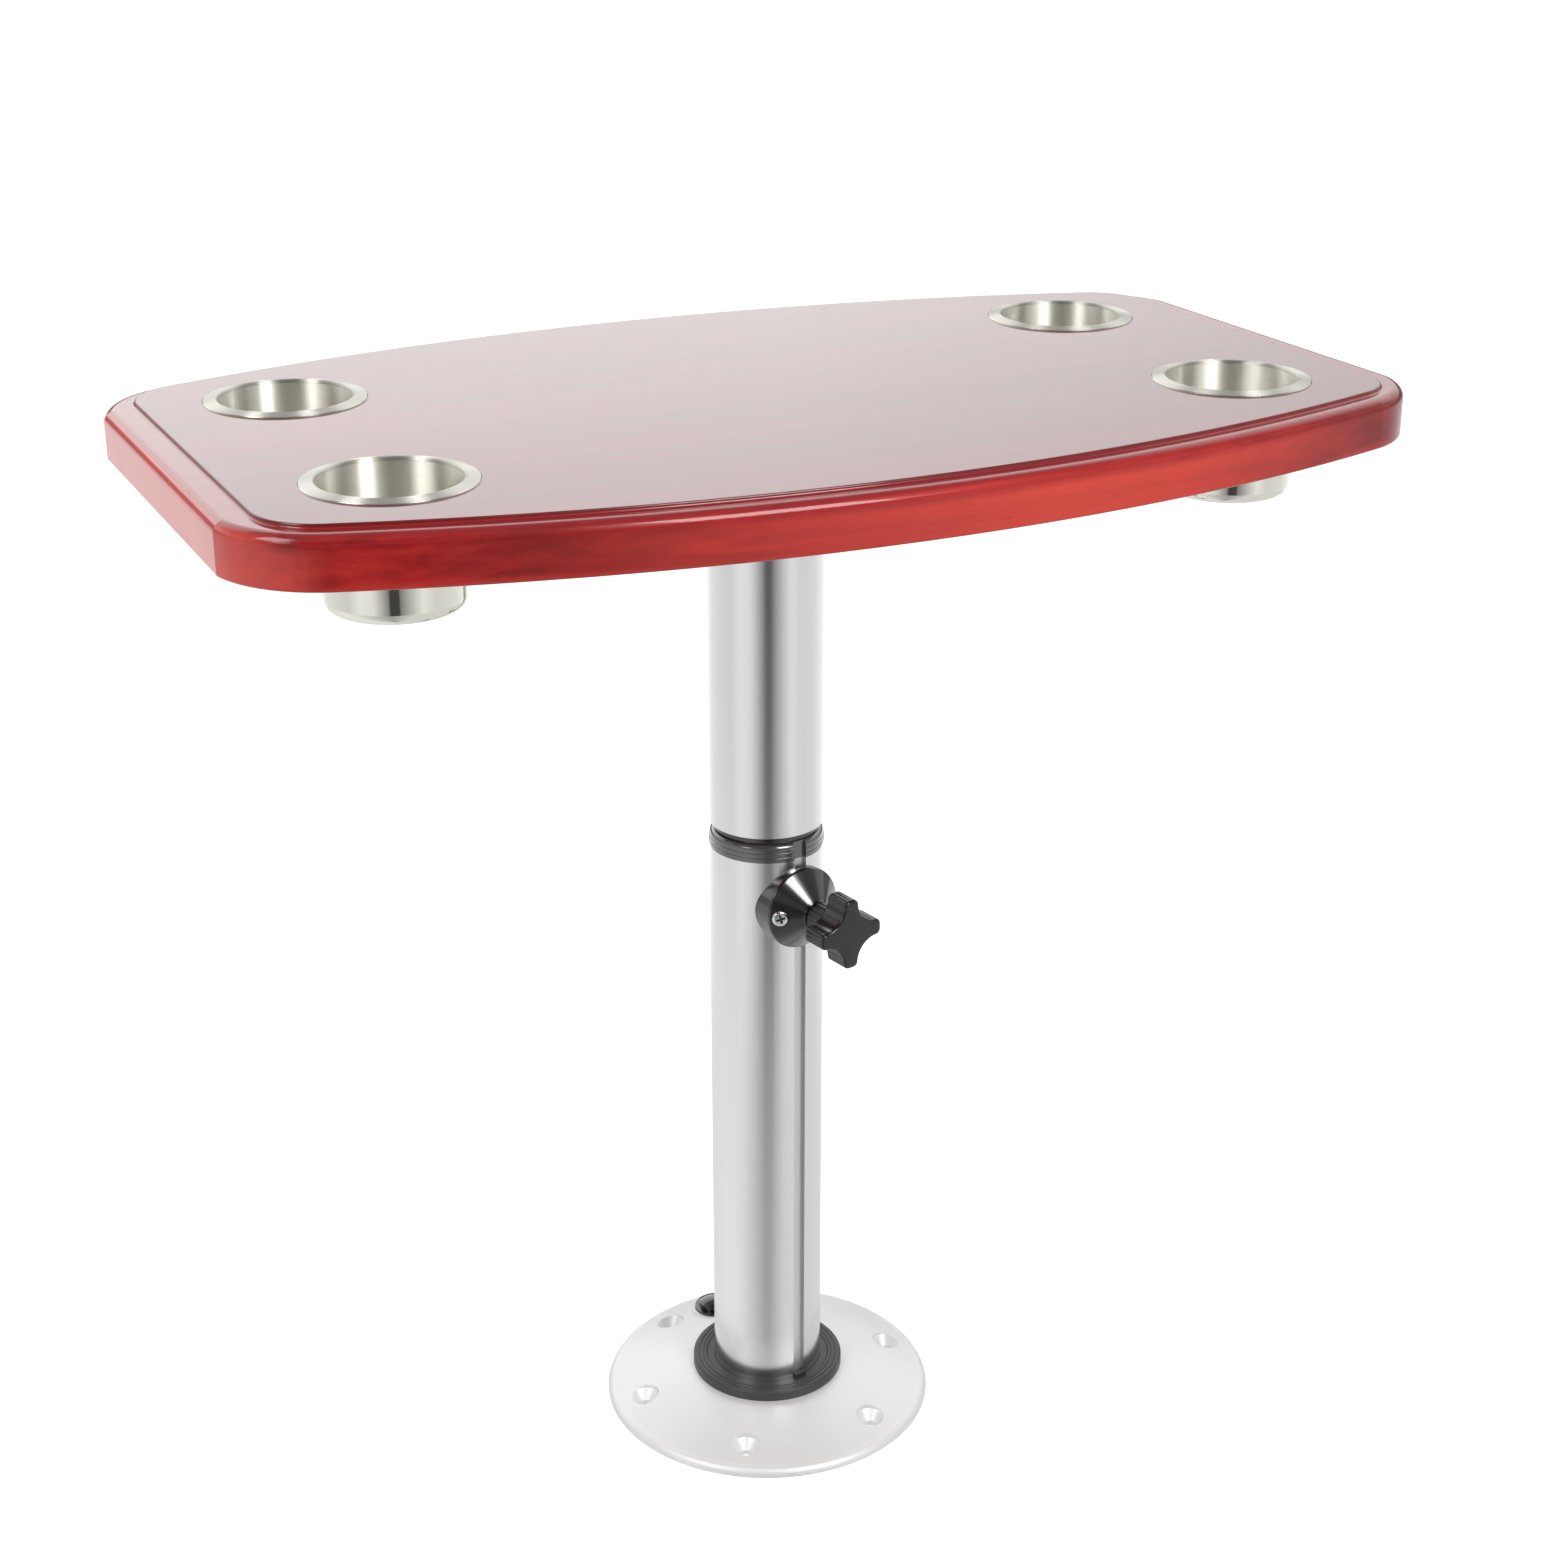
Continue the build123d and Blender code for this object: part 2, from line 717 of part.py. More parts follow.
def release_button():
    """Domed button with a retaining flange, bevelled where it drives the latch."""
    low = flange_top_level - button_flange
    radius = button_d / 2
    rim = button_seat + button_rise
    dome_r = (radius**2 + button_dome**2) / (2 * button_dome)
    dome_centre = rim + button_dome - dome_r
    half_turn = asin(radius / dome_r) / 2
    dome_middle = (dome_r * sin(half_turn), dome_centre + dome_r * cos(half_turn))
    dome = ThreePointArc((radius, rim), dome_middle, (0, rim + button_dome))
    body = turned(
        dome,
        Polyline(
            (0, rim + button_dome),
            (0, low),
            (button_flange_d / 2, low),
            (button_flange_d / 2, flange_top_level),
            (radius, flange_top_level),
            (radius, rim),
        ),
    )
    body = Pos(button_radius, 0, 0) * body
    return at_button(body - below_wedge(wedge_level()))


def button_bezel():
    """Flanged sleeve round the button."""
    outer = bezel_od / 2
    profile = Polyline(
        (bezel_bore_r, button_seat - bezel_sleeve),
        (bezel_sleeve_r, button_seat - bezel_sleeve),
        (bezel_sleeve_r, button_seat),
        (outer, button_seat),
        (outer - bezel_rise / 3, button_seat + bezel_rise),
        (bezel_bore_r, button_seat + bezel_rise),
        close=True,
    )
    return at_button(Pos(button_radius, 0, 0) * turned(profile))


def lock_latch():
    """Sliding plate with a keyhole round the king pin and a ramped tab under the button."""
    top = latch_bottom + latch_thickness
    level = wedge_level() - wedge_gap
    tab_top = flange_top_level - button_flange + wedge_size
    tab_end = level - latch_bottom
    plate = bar(-latch_tail, tab_end, latch_width, latch_bottom, top)
    tab = bar(level - tab_top - latch_tab_length, tab_end, latch_tab_width, latch_bottom, tab_top)
    plate = (plate + tab) & below_wedge(level)
    small = pin_neck_d / 2 + latch_gap
    large = pin_d / 2 + latch_gap
    keyhole = disc(small, 0, above) + Pos(button_travel, 0, 0) * disc(large, 0, above)
    keyhole = keyhole + bar(0, button_travel, 2 * small, 0, above)
    return at_button(plate - keyhole)


def latch_spring():
    """Bowed leaf spring between the latch's tail and its lug."""
    rise = spring_gap - 2 * spring_play
    root = lug_face + spring_play
    near_y = spring_half_span
    far_y = spring_half_span + spring_thickness
    inner = ThreePointArc((root, -near_y), (root + rise - spring_thickness, 0), (root, near_y))
    outer = ThreePointArc((root, -far_y), (root + rise, 0), (root, far_y))
    ends = [Line((root, -far_y), (root, -near_y)), Line((root, near_y), (root, far_y))]
    leaf = extrude(make_face(Curve() + [inner, outer] + ends), latch_thickness)
    return at_button(Pos(0, 0, latch_bottom) * leaf)


def latch_cover():
    """Plate that keeps the latch up, with a hole for the king pin's tip."""
    plate = extrude(RectangleRounded(cover_length, cover_width, cover_corner), cover_thickness)
    plate = Pos(0, 0, cover_top - cover_thickness) * plate - disc(pin_d / 2 + slide_gap, -1, above)
    for place in cover_screw_places():
        plate = plate - place * disc(cover_screw_d / 2, -1, above)
    return at_button(plate)


def latch_cover_screws():
    """Small pan-head screws of the latch's cover."""
    seat = cover_top - cover_thickness
    screw = disc(cover_screw_head_d / 2, seat - cover_screw_head, seat)
    screw = screw + disc(cover_screw_d / 2, seat, seat + cover_screw_length)
    return Compound(children=[at_button(place * screw) for place in cover_screw_places()])


flange_r = flange_od / 2
flange_socket_r = tube_r + flange_socket_wall
socket_low = pole_top - flange_socket
set_screw_level = socket_low + flange_socket / 2


def table_flange():
    """Cast flange under the table: a socket takes the upper tube and a spigot centres the inner tube."""
    cone_low = pole_top - flange_cone
    body = turned(
        Polyline(
            (0, table_bottom),
            (flange_r, table_bottom),
            (flange_r, table_bottom - flange_rim),
            (flange_screw_circle_d / 2 - flange_screw_head_d, pole_top),
            (flange_socket_r, cone_low),
            (flange_socket_r, socket_low),
            (tube_r, socket_low),
            (tube_r, pole_top),
            (tube_bore_r, pole_top),
            (tube_bore_r, pole_top - flange_spigot),
            (inner_r, pole_top - flange_spigot),
            (inner_r, pole_top),
            (0, pole_top),
            close=True,
        )
    )
    seat = table_bottom - flange_rim
    for turn in around(flange_screw_count):
        place = turn * Pos(flange_screw_circle_d / 2, 0, 0)
        body = body - place * disc(flange_screw_d / 2, 0, above)
        body = body - place * disc(flange_screw_head_d / 2 + fit_gap, 0, seat)
    for turn in around(set_screw_count, set_screw_turn):
        body = body - turn * Pos(0, 0, set_screw_level) * rod(set_screw_d / 2, tube_r, flange_r)
    return body


def table_flange_screws():
    """Pan-head screws from the flange up into the board."""
    seat = table_bottom - flange_rim
    head = disc(flange_screw_head_d / 2, seat - flange_screw_head, seat)
    rim = head.edges().filter_by(GeomType.CIRCLE).sort_by(Axis.Z)[0]
    head = fillet(rim, flange_screw_head / 2)
    screw = head + disc(flange_screw_d / 2, seat, table_bottom - flange_plate + flange_screw_length)
    places = [turn * Pos(flange_screw_circle_d / 2, 0, 0) for turn in around(flange_screw_count)]
    return Compound(children=[place * screw for place in places])


def flange_set_screws():
    """Grub screws that hold the upper tube in the flange's socket."""
    screw = Pos(0, 0, set_screw_level) * rod(set_screw_d / 2, tube_r, flange_socket_r)
    return Compound(children=[turn * screw for turn in around(set_screw_count, set_screw_turn)])


pieces = {
    "base_plate": base_plate(),
    "base_bush": base_bush(),
    "button_bezel": button_bezel(),
    "release_button": release_button(),
    "lock_latch": lock_latch(),
    "latch_spring": latch_spring(),
    "latch_cover": latch_cover(),
    "latch_cover_screws": latch_cover_screws(),
    "tube_foot": tube_foot(),
    "king_pin": king_pin(),
    "king_pin_nut": king_pin_nut(),
    "lower_tube": lower_tube(),
    "collar_bush": collar_bush(),
    "clamp_housing": clamp_housing(),
    "clamp_housing_screws": clamp_housing_screws(),
    "pressure_pad": pressure_pad(),
    "clamp_stud": clamp_stud(),
    "clamp_knob": clamp_knob(),
    "guide_bush": guide_bush(),
    "inner_tube_plug": inner_tube_plug(),
    "inner_tube": inner_tube(),
    "upper_tube": upper_tube(),
    "upper_tube_ring": upper_tube_ring(),
    "table_flange": table_flange(),
    "table_flange_screws": table_flange_screws(),
    "flange_set_screws": flange_set_screws(),
    "table_top": table_top(),
}
for place_name, place in cup_places().items():
    pieces["cup_holder_" + place_name] = place * cup_holder()

os.makedirs("parts", exist_ok=True)
for node, shape in pieces.items():
    export_step(shape, os.path.join("parts", node + ".step"))
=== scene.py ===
import json
from math import asin, atan2, cos, isclose, pi, radians, sin, sqrt

import bmesh
import bpy
from mathutils import Matrix, Vector


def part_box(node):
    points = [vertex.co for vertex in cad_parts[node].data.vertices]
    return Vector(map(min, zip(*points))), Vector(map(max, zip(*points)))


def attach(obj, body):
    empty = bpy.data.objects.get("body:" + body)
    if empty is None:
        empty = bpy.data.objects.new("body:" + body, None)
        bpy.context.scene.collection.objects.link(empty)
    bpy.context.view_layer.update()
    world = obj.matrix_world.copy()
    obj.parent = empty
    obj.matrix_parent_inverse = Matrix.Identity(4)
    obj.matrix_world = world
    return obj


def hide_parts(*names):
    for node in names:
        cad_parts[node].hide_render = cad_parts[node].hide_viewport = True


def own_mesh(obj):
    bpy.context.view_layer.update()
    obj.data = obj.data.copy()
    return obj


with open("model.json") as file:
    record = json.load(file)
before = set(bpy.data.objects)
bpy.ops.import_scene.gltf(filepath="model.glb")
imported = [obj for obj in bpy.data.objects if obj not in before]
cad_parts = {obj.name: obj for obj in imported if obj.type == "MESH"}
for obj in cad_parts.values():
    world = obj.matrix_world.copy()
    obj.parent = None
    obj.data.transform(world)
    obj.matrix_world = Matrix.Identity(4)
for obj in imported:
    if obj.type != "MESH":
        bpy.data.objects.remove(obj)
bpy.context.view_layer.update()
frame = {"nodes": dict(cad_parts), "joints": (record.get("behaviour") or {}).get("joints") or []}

# Looks of a single-pole camper table: lacquered board, steel cups, aluminium pole and cast floor base.
# Metres, +Z up, origin on the floor at the pole's axis, X along the table's length.
mm = 0.001
up = Vector((0.0, 0.0, 1.0))

# View
camera_place = Vector((-0.575, -1.211, 0.936))
camera_heading = Vector((0.4332, 0.9013, 0.0)).normalized()
camera_pitch = radians(22.1)
camera_lens = 60.1
camera_sensor = 36.0
camera_shift = 0.004

# Studio
white = (1.0, 1.0, 1.0, 1.0)
room_light = 0.52
ceiling_light = 0.40
ceiling_span = (0.72, 0.82)
floor_colour = (0.82, 0.82, 0.82, 1.0)
floor_cloud_scale = 3.0
floor_cloud_share = 0.1
floor_glow = 0.75
floor_size = 40.0
soft_box_width = 0.5
soft_box_height = 0.65
left_lamp_place = (-1.21, -0.22, 1.63)
left_lamp_glow = 6.5
right_lamp_place = (0.26, -1.20, 1.46)
right_lamp_glow = 9.0
lamp_aim = Vector((0.0, 0.0, 0.6))

# Brightness that polished surfaces mirror, in one turn from straight behind the table: by its left, round its
# front and by its right
near_floor = [
    (0.00, 0.80), (0.25, 0.97), (0.33, 0.92), (0.50, 0.42), (0.60, 0.78), (0.75, 0.78), (1.00, 0.80),
]
screens = [
    (0.00, 1.35), (0.15, 0.90), (0.30, 0.75), (0.36, 0.98), (0.42, 0.90), (0.49, 0.25), (0.496, 0.06),
    (0.534, 0.06), (0.54, 0.25), (0.64, 0.96), (0.70, 0.78), (0.80, 0.85), (1.00, 1.35),
]
horizon = [
    (0.00, 0.12), (0.10, 0.16), (0.20, 0.50), (0.35, 0.70), (0.47, 0.10), (0.53, 0.10), (0.65, 0.70),
    (0.80, 0.50), (0.90, 0.16), (1.00, 0.12),
]
upper_wall = [
    (0.00, 1.66), (0.055, 1.86), (0.15, 1.86), (0.25, 0.90), (0.36, 0.45), (0.50, 0.30), (0.64, 0.45),
    (0.78, 0.80), (0.85, 0.98), (0.945, 1.04), (1.00, 1.66),
]
loft = [
    (0.00, 1.60), (0.15, 1.60), (0.22, 0.40), (0.31, 0.30), (0.35, 0.60), (0.37, 4.50), (0.395, 4.50),
    (0.415, 0.40), (0.46, 0.05), (0.53, 0.05), (0.575, 0.40), (0.60, 4.50), (0.645, 4.50), (0.67, 0.50),
    (0.72, 0.30), (0.78, 0.40), (0.85, 1.60), (1.00, 1.60),
]

# What lies over near_floor, with the heights of a ray where each begins and where it is full
studio_zones = [
    (screens, -0.47, -0.40),
    (horizon, -0.12, -0.06),
    (upper_wall, 0.12, 0.18),
    (loft, 0.36, 0.46),
]

# Board's stains, from the dark to the light streaks of its grain or for one zone, and the colours of the
# painted shade and painted reflection on its solid edge
veneer_stains = [
    (0.36, (0.110, 0.005, 0.006, 1.0)),
    (0.50, (0.155, 0.008, 0.009, 1.0)),
    (0.66, (0.205, 0.013, 0.012, 1.0)),
]
lipping_stains = [
    (0.36, (0.200, 0.005, 0.008, 1.0)),
    (0.50, (0.350, 0.011, 0.013, 1.0)),
    (0.66, (0.520, 0.024, 0.020, 1.0)),
]
# Colour of the painted shade on the solid edge
painted_shade_red = (0.120, 0.003, 0.005, 1.0)
# Colour of the painted reflection on the solid edge
painted_reflection_pink = (0.800, 0.070, 0.044, 1.0)
# Redder band along the panel's cove
cove_red = (0.250, 0.006, 0.009, 1.0)
pore_stain = (0.120, 0.005, 0.007, 1.0)

# How much painted reflection pales the board's solid edge, and how much painted shade darkens it, from its
# left end to its right end
lipping_painted_reflection = [
    (0.00, 0.85), (0.03, 0.60), (0.06, 0.15), (0.17, 0.00), (0.30, 0.25), (0.45, 0.45), (0.60, 0.85),
    (0.70, 0.80), (0.81, 0.45), (0.92, 0.00),
]
lipping_painted_shade = [
    (0.00, 0.00), (0.12, 0.20), (0.20, 0.45), (0.35, 0.05), (0.50, 0.00), (0.75, 0.05), (0.88, 0.50),
    (1.00, 0.55),
]

# Where the zones of the board's finish start and end; the face, foot and left end zones carry painted
# reflection
lipping_span = (-0.05, 0.50)  # in edge rounds below the shoulder
face_span = (0.70, 1.60)  # in edge rounds below the shoulder
rim_span = (0.15, 0.50)  # in shoulders below the panel's top
foot_span = (-1.0, 0.0)  # in edge rounds below the underside
left_end_span = (0.01, 0.04)  # in lengths from the left end
underside_span = (-0.95, -0.80)  # in how far a face looks up
pore_span = (0.60, 0.72)  # in the depth of the pores' texture
# Share of painted reflection on the solid edge's bottom round
foot_painted_reflection = 0.35
lipping_coat_loss = 0.45

# Where the tube's groove starts and ends, in its own depths below the skin, and where a cup's outside starts
groove_wall_span = (0.1, 0.5)
groove_floor_span = (1.5, 1.2)
cup_outside_span = (-0.05, 0.05)

# Fineness of the textures, evenly or along each axis
streak_scale = (5.0, 170.0, 170.0)
band_scale = (1.4, 22.0, 22.0)
pore_scale = (80.0, 1400.0, 1400.0)
tube_line_scale = (900.0, 900.0, 3.0)
tube_haze_scale = (9.0, 9.0, 5.0)
cast_grain_scale = 1400.0
cast_cloud_scale = 24.0
black_cloud_scale = 60.0
turning_scale = (40.0, 40.0, 1600.0)
plating_scale = 420.0
spun_ring_scale = 2600.0
cup_haze_scale = 30.0

# Tints
nylon_tint = (1.0, 0.98, 0.92)
zinc_tint = (1.0, 1.0, 1.01)
stainless_tint = (1.0, 0.985, 0.89)

# Sizes of the solids that the finishes follow, in millimetres
board_shoulder = 2.2
board_round = 6.0
groove_depth = 2.2
groove_width = 7.6
cup_rim_rise = 0.5

# Clamp knob, in millimetres
knob_span = 40.0
knob_lobe_width = 9.6
knob_waist = 24.0
knob_depth = 16.4
knob_tip_round = 3.2
knob_edge_round = 1.5
knob_notch_depth = 0.7
knob_notch_width = 0.8
knob_notches = (-2.6, 0.0, 2.6)
hub_radius = 8.2
hub_flutes = 18
hub_flute_depth = 0.4
hub_start = 47.55
hub_length = 14.0

# Screws, in millimetres: heads by radius and height, shanks by radius and length
clamp_screw_turn = radians(26.0)
clamp_screw_seat = 40.95
clamp_screw_head = (4.6, 2.6)
clamp_screw_shank = (2.0, 12.7)
flange_screw_count = 6
flange_screw_circle = 65.0
flange_screw_head = (4.5, 2.8)
flange_screw_shank = (2.25, 16.0)
cover_screw_along = 31.0
cover_screw_across = 19.0
cover_screw_head = (2.8, 1.0)
cover_screw_shank = (1.5, 4.0)

# Pan head of radius and height 1, with its cross recess
head_wall = 0.4
head_flat = 0.62
cross_arm = 0.58
cross_half_width = 0.15
cross_taper = 0.72
cross_floor = 0.3

# Leaf spring, in millimetres
spring_root = -29.9
spring_rise = 5.8
spring_span = 18.0
spring_sheet = 0.5

# Beads of the base bush and the collar, in millimetres
bush_top = 22.2
bush_bead_circles = (38.6, 41.2)
bush_bead = 0.5
collar_bead_levels = (2.4, 5.2)
collar_bead = 0.4

# Fineness of the meshes
screw_facets = 72
shank_facets = 24
head_steps = 5
bead_points = 180
bead_facets = 12
spring_facets = 40
lobe_end_points = 12
lobe_round_points = 24
lobe_hollow_points = 12
knob_rim_steps = 5
flute_points = 8
sharp_angle = radians(35.0)

# Inputs of a Mix node for its share and its two colours
mix_sockets = (0, 6, 7)


class Field:
    """One output of a node, with arithmetic that adds Math nodes."""

    def __init__(self, graph, socket):
        self.graph = graph
        self.socket = socket

    def out(self, name):
        return Field(self.graph, self.socket.node.outputs[name])

    def __add__(self, other):
        return self.graph.math("ADD", self, other)

    def __radd__(self, other):
        return self.graph.math("ADD", other, self)

    def __sub__(self, other):
        return self.graph.math("SUBTRACT", self, other)

    def __rsub__(self, other):
        return self.graph.math("SUBTRACT", other, self)

    def __mul__(self, other):
        return self.graph.math("MULTIPLY", self, other)

    def __truediv__(self, other):
        return self.graph.math("DIVIDE", self, other)

    def __pow__(self, other):
        return self.graph.math("POWER", self, other)


def even(level):
    """Grey of one level."""
    return (level, level, level, 1.0)


class Graph:
    """A node tree that is being built."""

    def __init__(self, tree):
        self.tree = tree

    def node(self, kind, settings=None, sockets=None):
        """Adds a node, sets it up, then fills or links its inputs; gives its first output."""
        made = self.tree.nodes.new(kind)
        for name, value in (settings or {}).items():
            setattr(made, name, value)
        for key, value in (sockets or {}).items():
            for each in value if isinstance(value, list) else [value]:
                if isinstance(each, Field):
                    self.tree.links.new(each.socket, made.inputs[key])
                else:
                    made.inputs[key].default_value = each
        shown = [socket for socket in made.outputs if socket.enabled]
        return Field(self, shown[0]) if shown else made

    def math(self, operation, *values):
        return self.node("ShaderNodeMath", {"operation": operation}, dict(enumerate(values)))

    def most(self, first, second):
        return self.math("MAXIMUM", first, second)

    def ramp(self, value, stops):
        """Level or colour that follows a value between 0 and 1."""
        made = self.node("ShaderNodeValToRGB", None, {"Fac": value})
        elements = made.socket.node.color_ramp.elements
        while len(elements) < len(stops):
            elements.new(1.0)
        for element, (place, shade) in zip(elements, stops):
            element.position = place
            element.color = even(shade) if isinstance(shade, float) else shade
        return made

    def step(self, value, low, high):
        """Smooth change from 0 to 1 while a value goes from low to high."""
        sockets = {"Value": value, "From Min": low, "From Max": high}
        return self.node("ShaderNodeMapRange", {"interpolation_type": "SMOOTHSTEP"}, sockets)

    def place(self, stretch=1.0):
        """Object coordinates, stretched evenly or by one amount for each axis."""
        coordinates = self.node("ShaderNodeTexCoord").out("Object")
        scale = stretch if isinstance(stretch, tuple) else (stretch, stretch, stretch)
        return self.node("ShaderNodeMapping", None, {"Vector": coordinates, "Scale": scale})

    def facing(self):
        """Direction that the surface faces."""
        return self.node("ShaderNodeTexCoord").out("Normal")

    def noise(self, place, detail=2.0, roughness=0.5, distortion=0.0):
        sockets = {"Vector": place, "Scale": 1.0, "Detail": detail}
        sockets.update({"Roughness": roughness, "Distortion": distortion})
        return self.node("ShaderNodeTexNoise", None, sockets)

    def mix(self, share, first, second):
        """Colour between two others."""
        sockets = dict(zip(mix_sockets, (share, first, second)))
        return self.node("ShaderNodeMix", {"data_type": "RGBA"}, sockets)

    def bump(self, height, strength, distance):
        sockets = {"Height": height, "Strength": strength, "Distance": distance}
        return self.node("ShaderNodeBump", None, sockets)

    def grey(self, level, tint=(1.0, 1.0, 1.0)):
        """Colour of an even level, slightly tinted."""
        channels = {index: level * share for index, share in enumerate(tint)}
        return self.node("ShaderNodeCombineColor", None, channels)

    def parts(self, vector):
        """A vector's share along each axis."""
        split = self.node("ShaderNodeSeparateXYZ", None, {0: vector})
        return [split.out(axis) for axis in "XYZ"]

    def vector(self, *shares):
        return self.node("ShaderNodeCombineXYZ", None, dict(enumerate(shares)))

    def dot(self, first, second):
        sockets = {0: first, 1: second}
        return self.node("ShaderNodeVectorMath", {"operation": "DOT_PRODUCT"}, sockets).out("Value")

    def rays(self, kind):
        """1 for light paths of one kind."""
        return self.node("ShaderNodeLightPath").out(f"Is {kind} Ray")

    def mirrored(self):
        """1 for rays that come off or through a polished surface."""
        return self.most(self.rays("Glossy"), self.rays("Transmission"))


def material(name, build, **constants):
    """Material on one Principled shader: constants on its sockets, the rest from a build function."""
    made = bpy.data.materials.new(name)
    made.use_nodes = True
    graph = Graph(made.node_tree)
    shader = made.node_tree.nodes["Principled BSDF"]
    for socket, value in constants.items():
        shader.inputs[socket.replace("_", " ")].default_value = value
    for socket, field in build(graph).items():
        made.node_tree.links.new(field.socket, shader.inputs[socket])
    return made


def lacquered_mahogany(graph):
    """Red stained timber under clear lacquer: fine straight grain, lighter and warmer at the solid edge;
    painted shade darkens that edge along its length and painted reflection pales it.
    """
    low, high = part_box("table_top")
    shoulder = high.z - board_shoulder * mm
    lengthwise, _, level = graph.parts(graph.place())
    along = lengthwise / (high.x - low.x) + 0.5
    looks_up = graph.parts(graph.facing())[2]

    def below(start, size, span):
        return graph.step(level, *(start - share * size * mm for share in span))

    edge = below(shoulder, board_round, lipping_span) * graph.step(looks_up, *underside_span)
    face = below(shoulder, board_round, face_span)
    rim = below(high.z, board_shoulder, rim_span)
    # Painted reflection along the bottom round of the solid edge
    foot = below(low.z, board_round, foot_span) * foot_painted_reflection
    face = graph.most(face, graph.step(along, *reversed(left_end_span)))

    streaks = graph.noise(graph.place(streak_scale), detail=4.0, roughness=0.55, distortion=0.4)
    bands = graph.noise(graph.place(band_scale), detail=3.0, distortion=0.8)
    pores = graph.step(graph.noise(graph.place(pore_scale), roughness=0.6), *pore_span)
    grain = streaks * 0.55 + bands * 0.45
    # Painted reflection: how much the solid edge pales along its length, in streaks, most on its lower face
    # and left end
    painted_reflection = graph.ramp(along, lipping_painted_reflection) * (0.55 + bands * 0.8) * (0.15 + face * 0.85)
    veneer = graph.mix(rim, graph.ramp(grain, veneer_stains), cove_red)
    # Painted shade darkens the solid edge along its length
    lipping = graph.mix(graph.ramp(along, lipping_painted_shade), graph.ramp(grain, lipping_stains), painted_shade_red)
    lipping = graph.mix(graph.most(painted_reflection, foot), lipping, painted_reflection_pink)
    timber = graph.mix(edge, veneer, lipping)
    return {
        "Base Color": graph.mix(pores * 0.25, timber, pore_stain),
        "Roughness": 0.28 + streaks * 0.12,
        "Coat Weight": 1.0 - edge * graph.step(along, *left_end_span) * lipping_coat_loss,
        "Normal": graph.bump(streaks * 0.6 - pores * 0.4, strength=0.02, distance=0.5 * mm),
    }


def drawn_aluminium(graph):
    """Extruded and polished tube: faint lines along the pole, a soft sheen, duller in the groove, where
    painted shade also darkens its colour.
    """
    lines = graph.noise(graph.place(tube_line_scale), detail=3.0, roughness=0.6)
    haze = graph.noise(graph.place(tube_haze_scale))
    across, along, _ = graph.parts(graph.place())
    radius = (across * across + along * along) ** 0.5
    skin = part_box("lower_tube")[1].x
    depth = groove_depth * mm
    below_skin = graph.step(radius, *(skin - share * depth for share in groove_wall_span))
    above_bore = graph.step(radius, *(skin - share * depth for share in groove_floor_span))
    groove = below_skin * above_bore
    return {
        # Painted shade darkens the groove's colour; its higher roughness is the real duller finish
        "Base Color": graph.grey(0.80 - groove * 0.10 + (lines - 0.5) * 0.05),
        "Roughness": 0.17 + groove * 0.22 + lines * 0.06 + haze * 0.04,
        "Normal": graph.bump(lines, strength=0.04, distance=0.2 * mm),
    }


def cast_aluminium(graph):
    """Tumbled casting: a fine, even grain and a satin sheen."""
    grain = graph.noise(graph.place(cast_grain_scale), roughness=0.6)
    cloud = graph.noise(graph.place(cast_cloud_scale), detail=3.0)
    return {
        "Base Color": graph.grey(0.90 + (cloud - 0.5) * 0.06 + (grain - 0.5) * 0.05),
        "Roughness": 0.40 + grain * 0.10 + cloud * 0.06,
        "Normal": graph.bump(grain, strength=0.10, distance=0.1 * mm),
    }


def moulded_black(level, roughness, texture_scale, texture):
    """Black moulded plastic of one level and roughness: a little uneven, with the mould's fine texture."""

    def build(graph):
        grain = graph.noise(graph.place(texture_scale), roughness=0.6)
        cloud = graph.noise(graph.place(black_cloud_scale))
        return {
            "Base Color": graph.grey((0.85 + cloud * 0.3) * level),
            "Roughness": roughness + (cloud - 0.5) * 0.06 + (grain - 0.5) * 0.05,
            "Normal": graph.bump(grain, strength=texture, distance=0.1 * mm),
        }

    return build


def natural_nylon(graph):
    """Turned white nylon with faint tool marks."""
    marks = graph.noise(graph.place(turning_scale))
    return {
        "Base Color": graph.grey(0.70 + (marks - 0.5) * 0.08, nylon_tint),
        "Roughness": 0.42 + marks * 0.12,
    }


def plated_steel(graph):
    """Zinc plated steel: bright, slightly cloudy, with painted shade in the cross recesses."""
    cloud = graph.noise(graph.place(plating_scale), detail=3.0)
    recess = graph.node("ShaderNodeAttribute", {"attribute_name": "recess"}).out("Fac")
    # Painted shade darkens the floors of the cross recesses
    tone = (0.74 + (cloud - 0.5) * 0.12) * (1.0 - recess * 0.85)
    return {"Base Color": graph.grey(tone, zinc_tint), "Roughness": 0.14 + cloud * 0.14}


def cup_local(graph):
    """Place seen from the centre of the nearest of the four cups, and the height."""
    low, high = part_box("cup_holder_back_right")
    centre = (low + high) / 2
    across, along, level = graph.parts(graph.place())
    across = across - graph.math("SIGN", across) * centre.x
    along = along - graph.math("SIGN", along) * centre.y
    return across, along, level


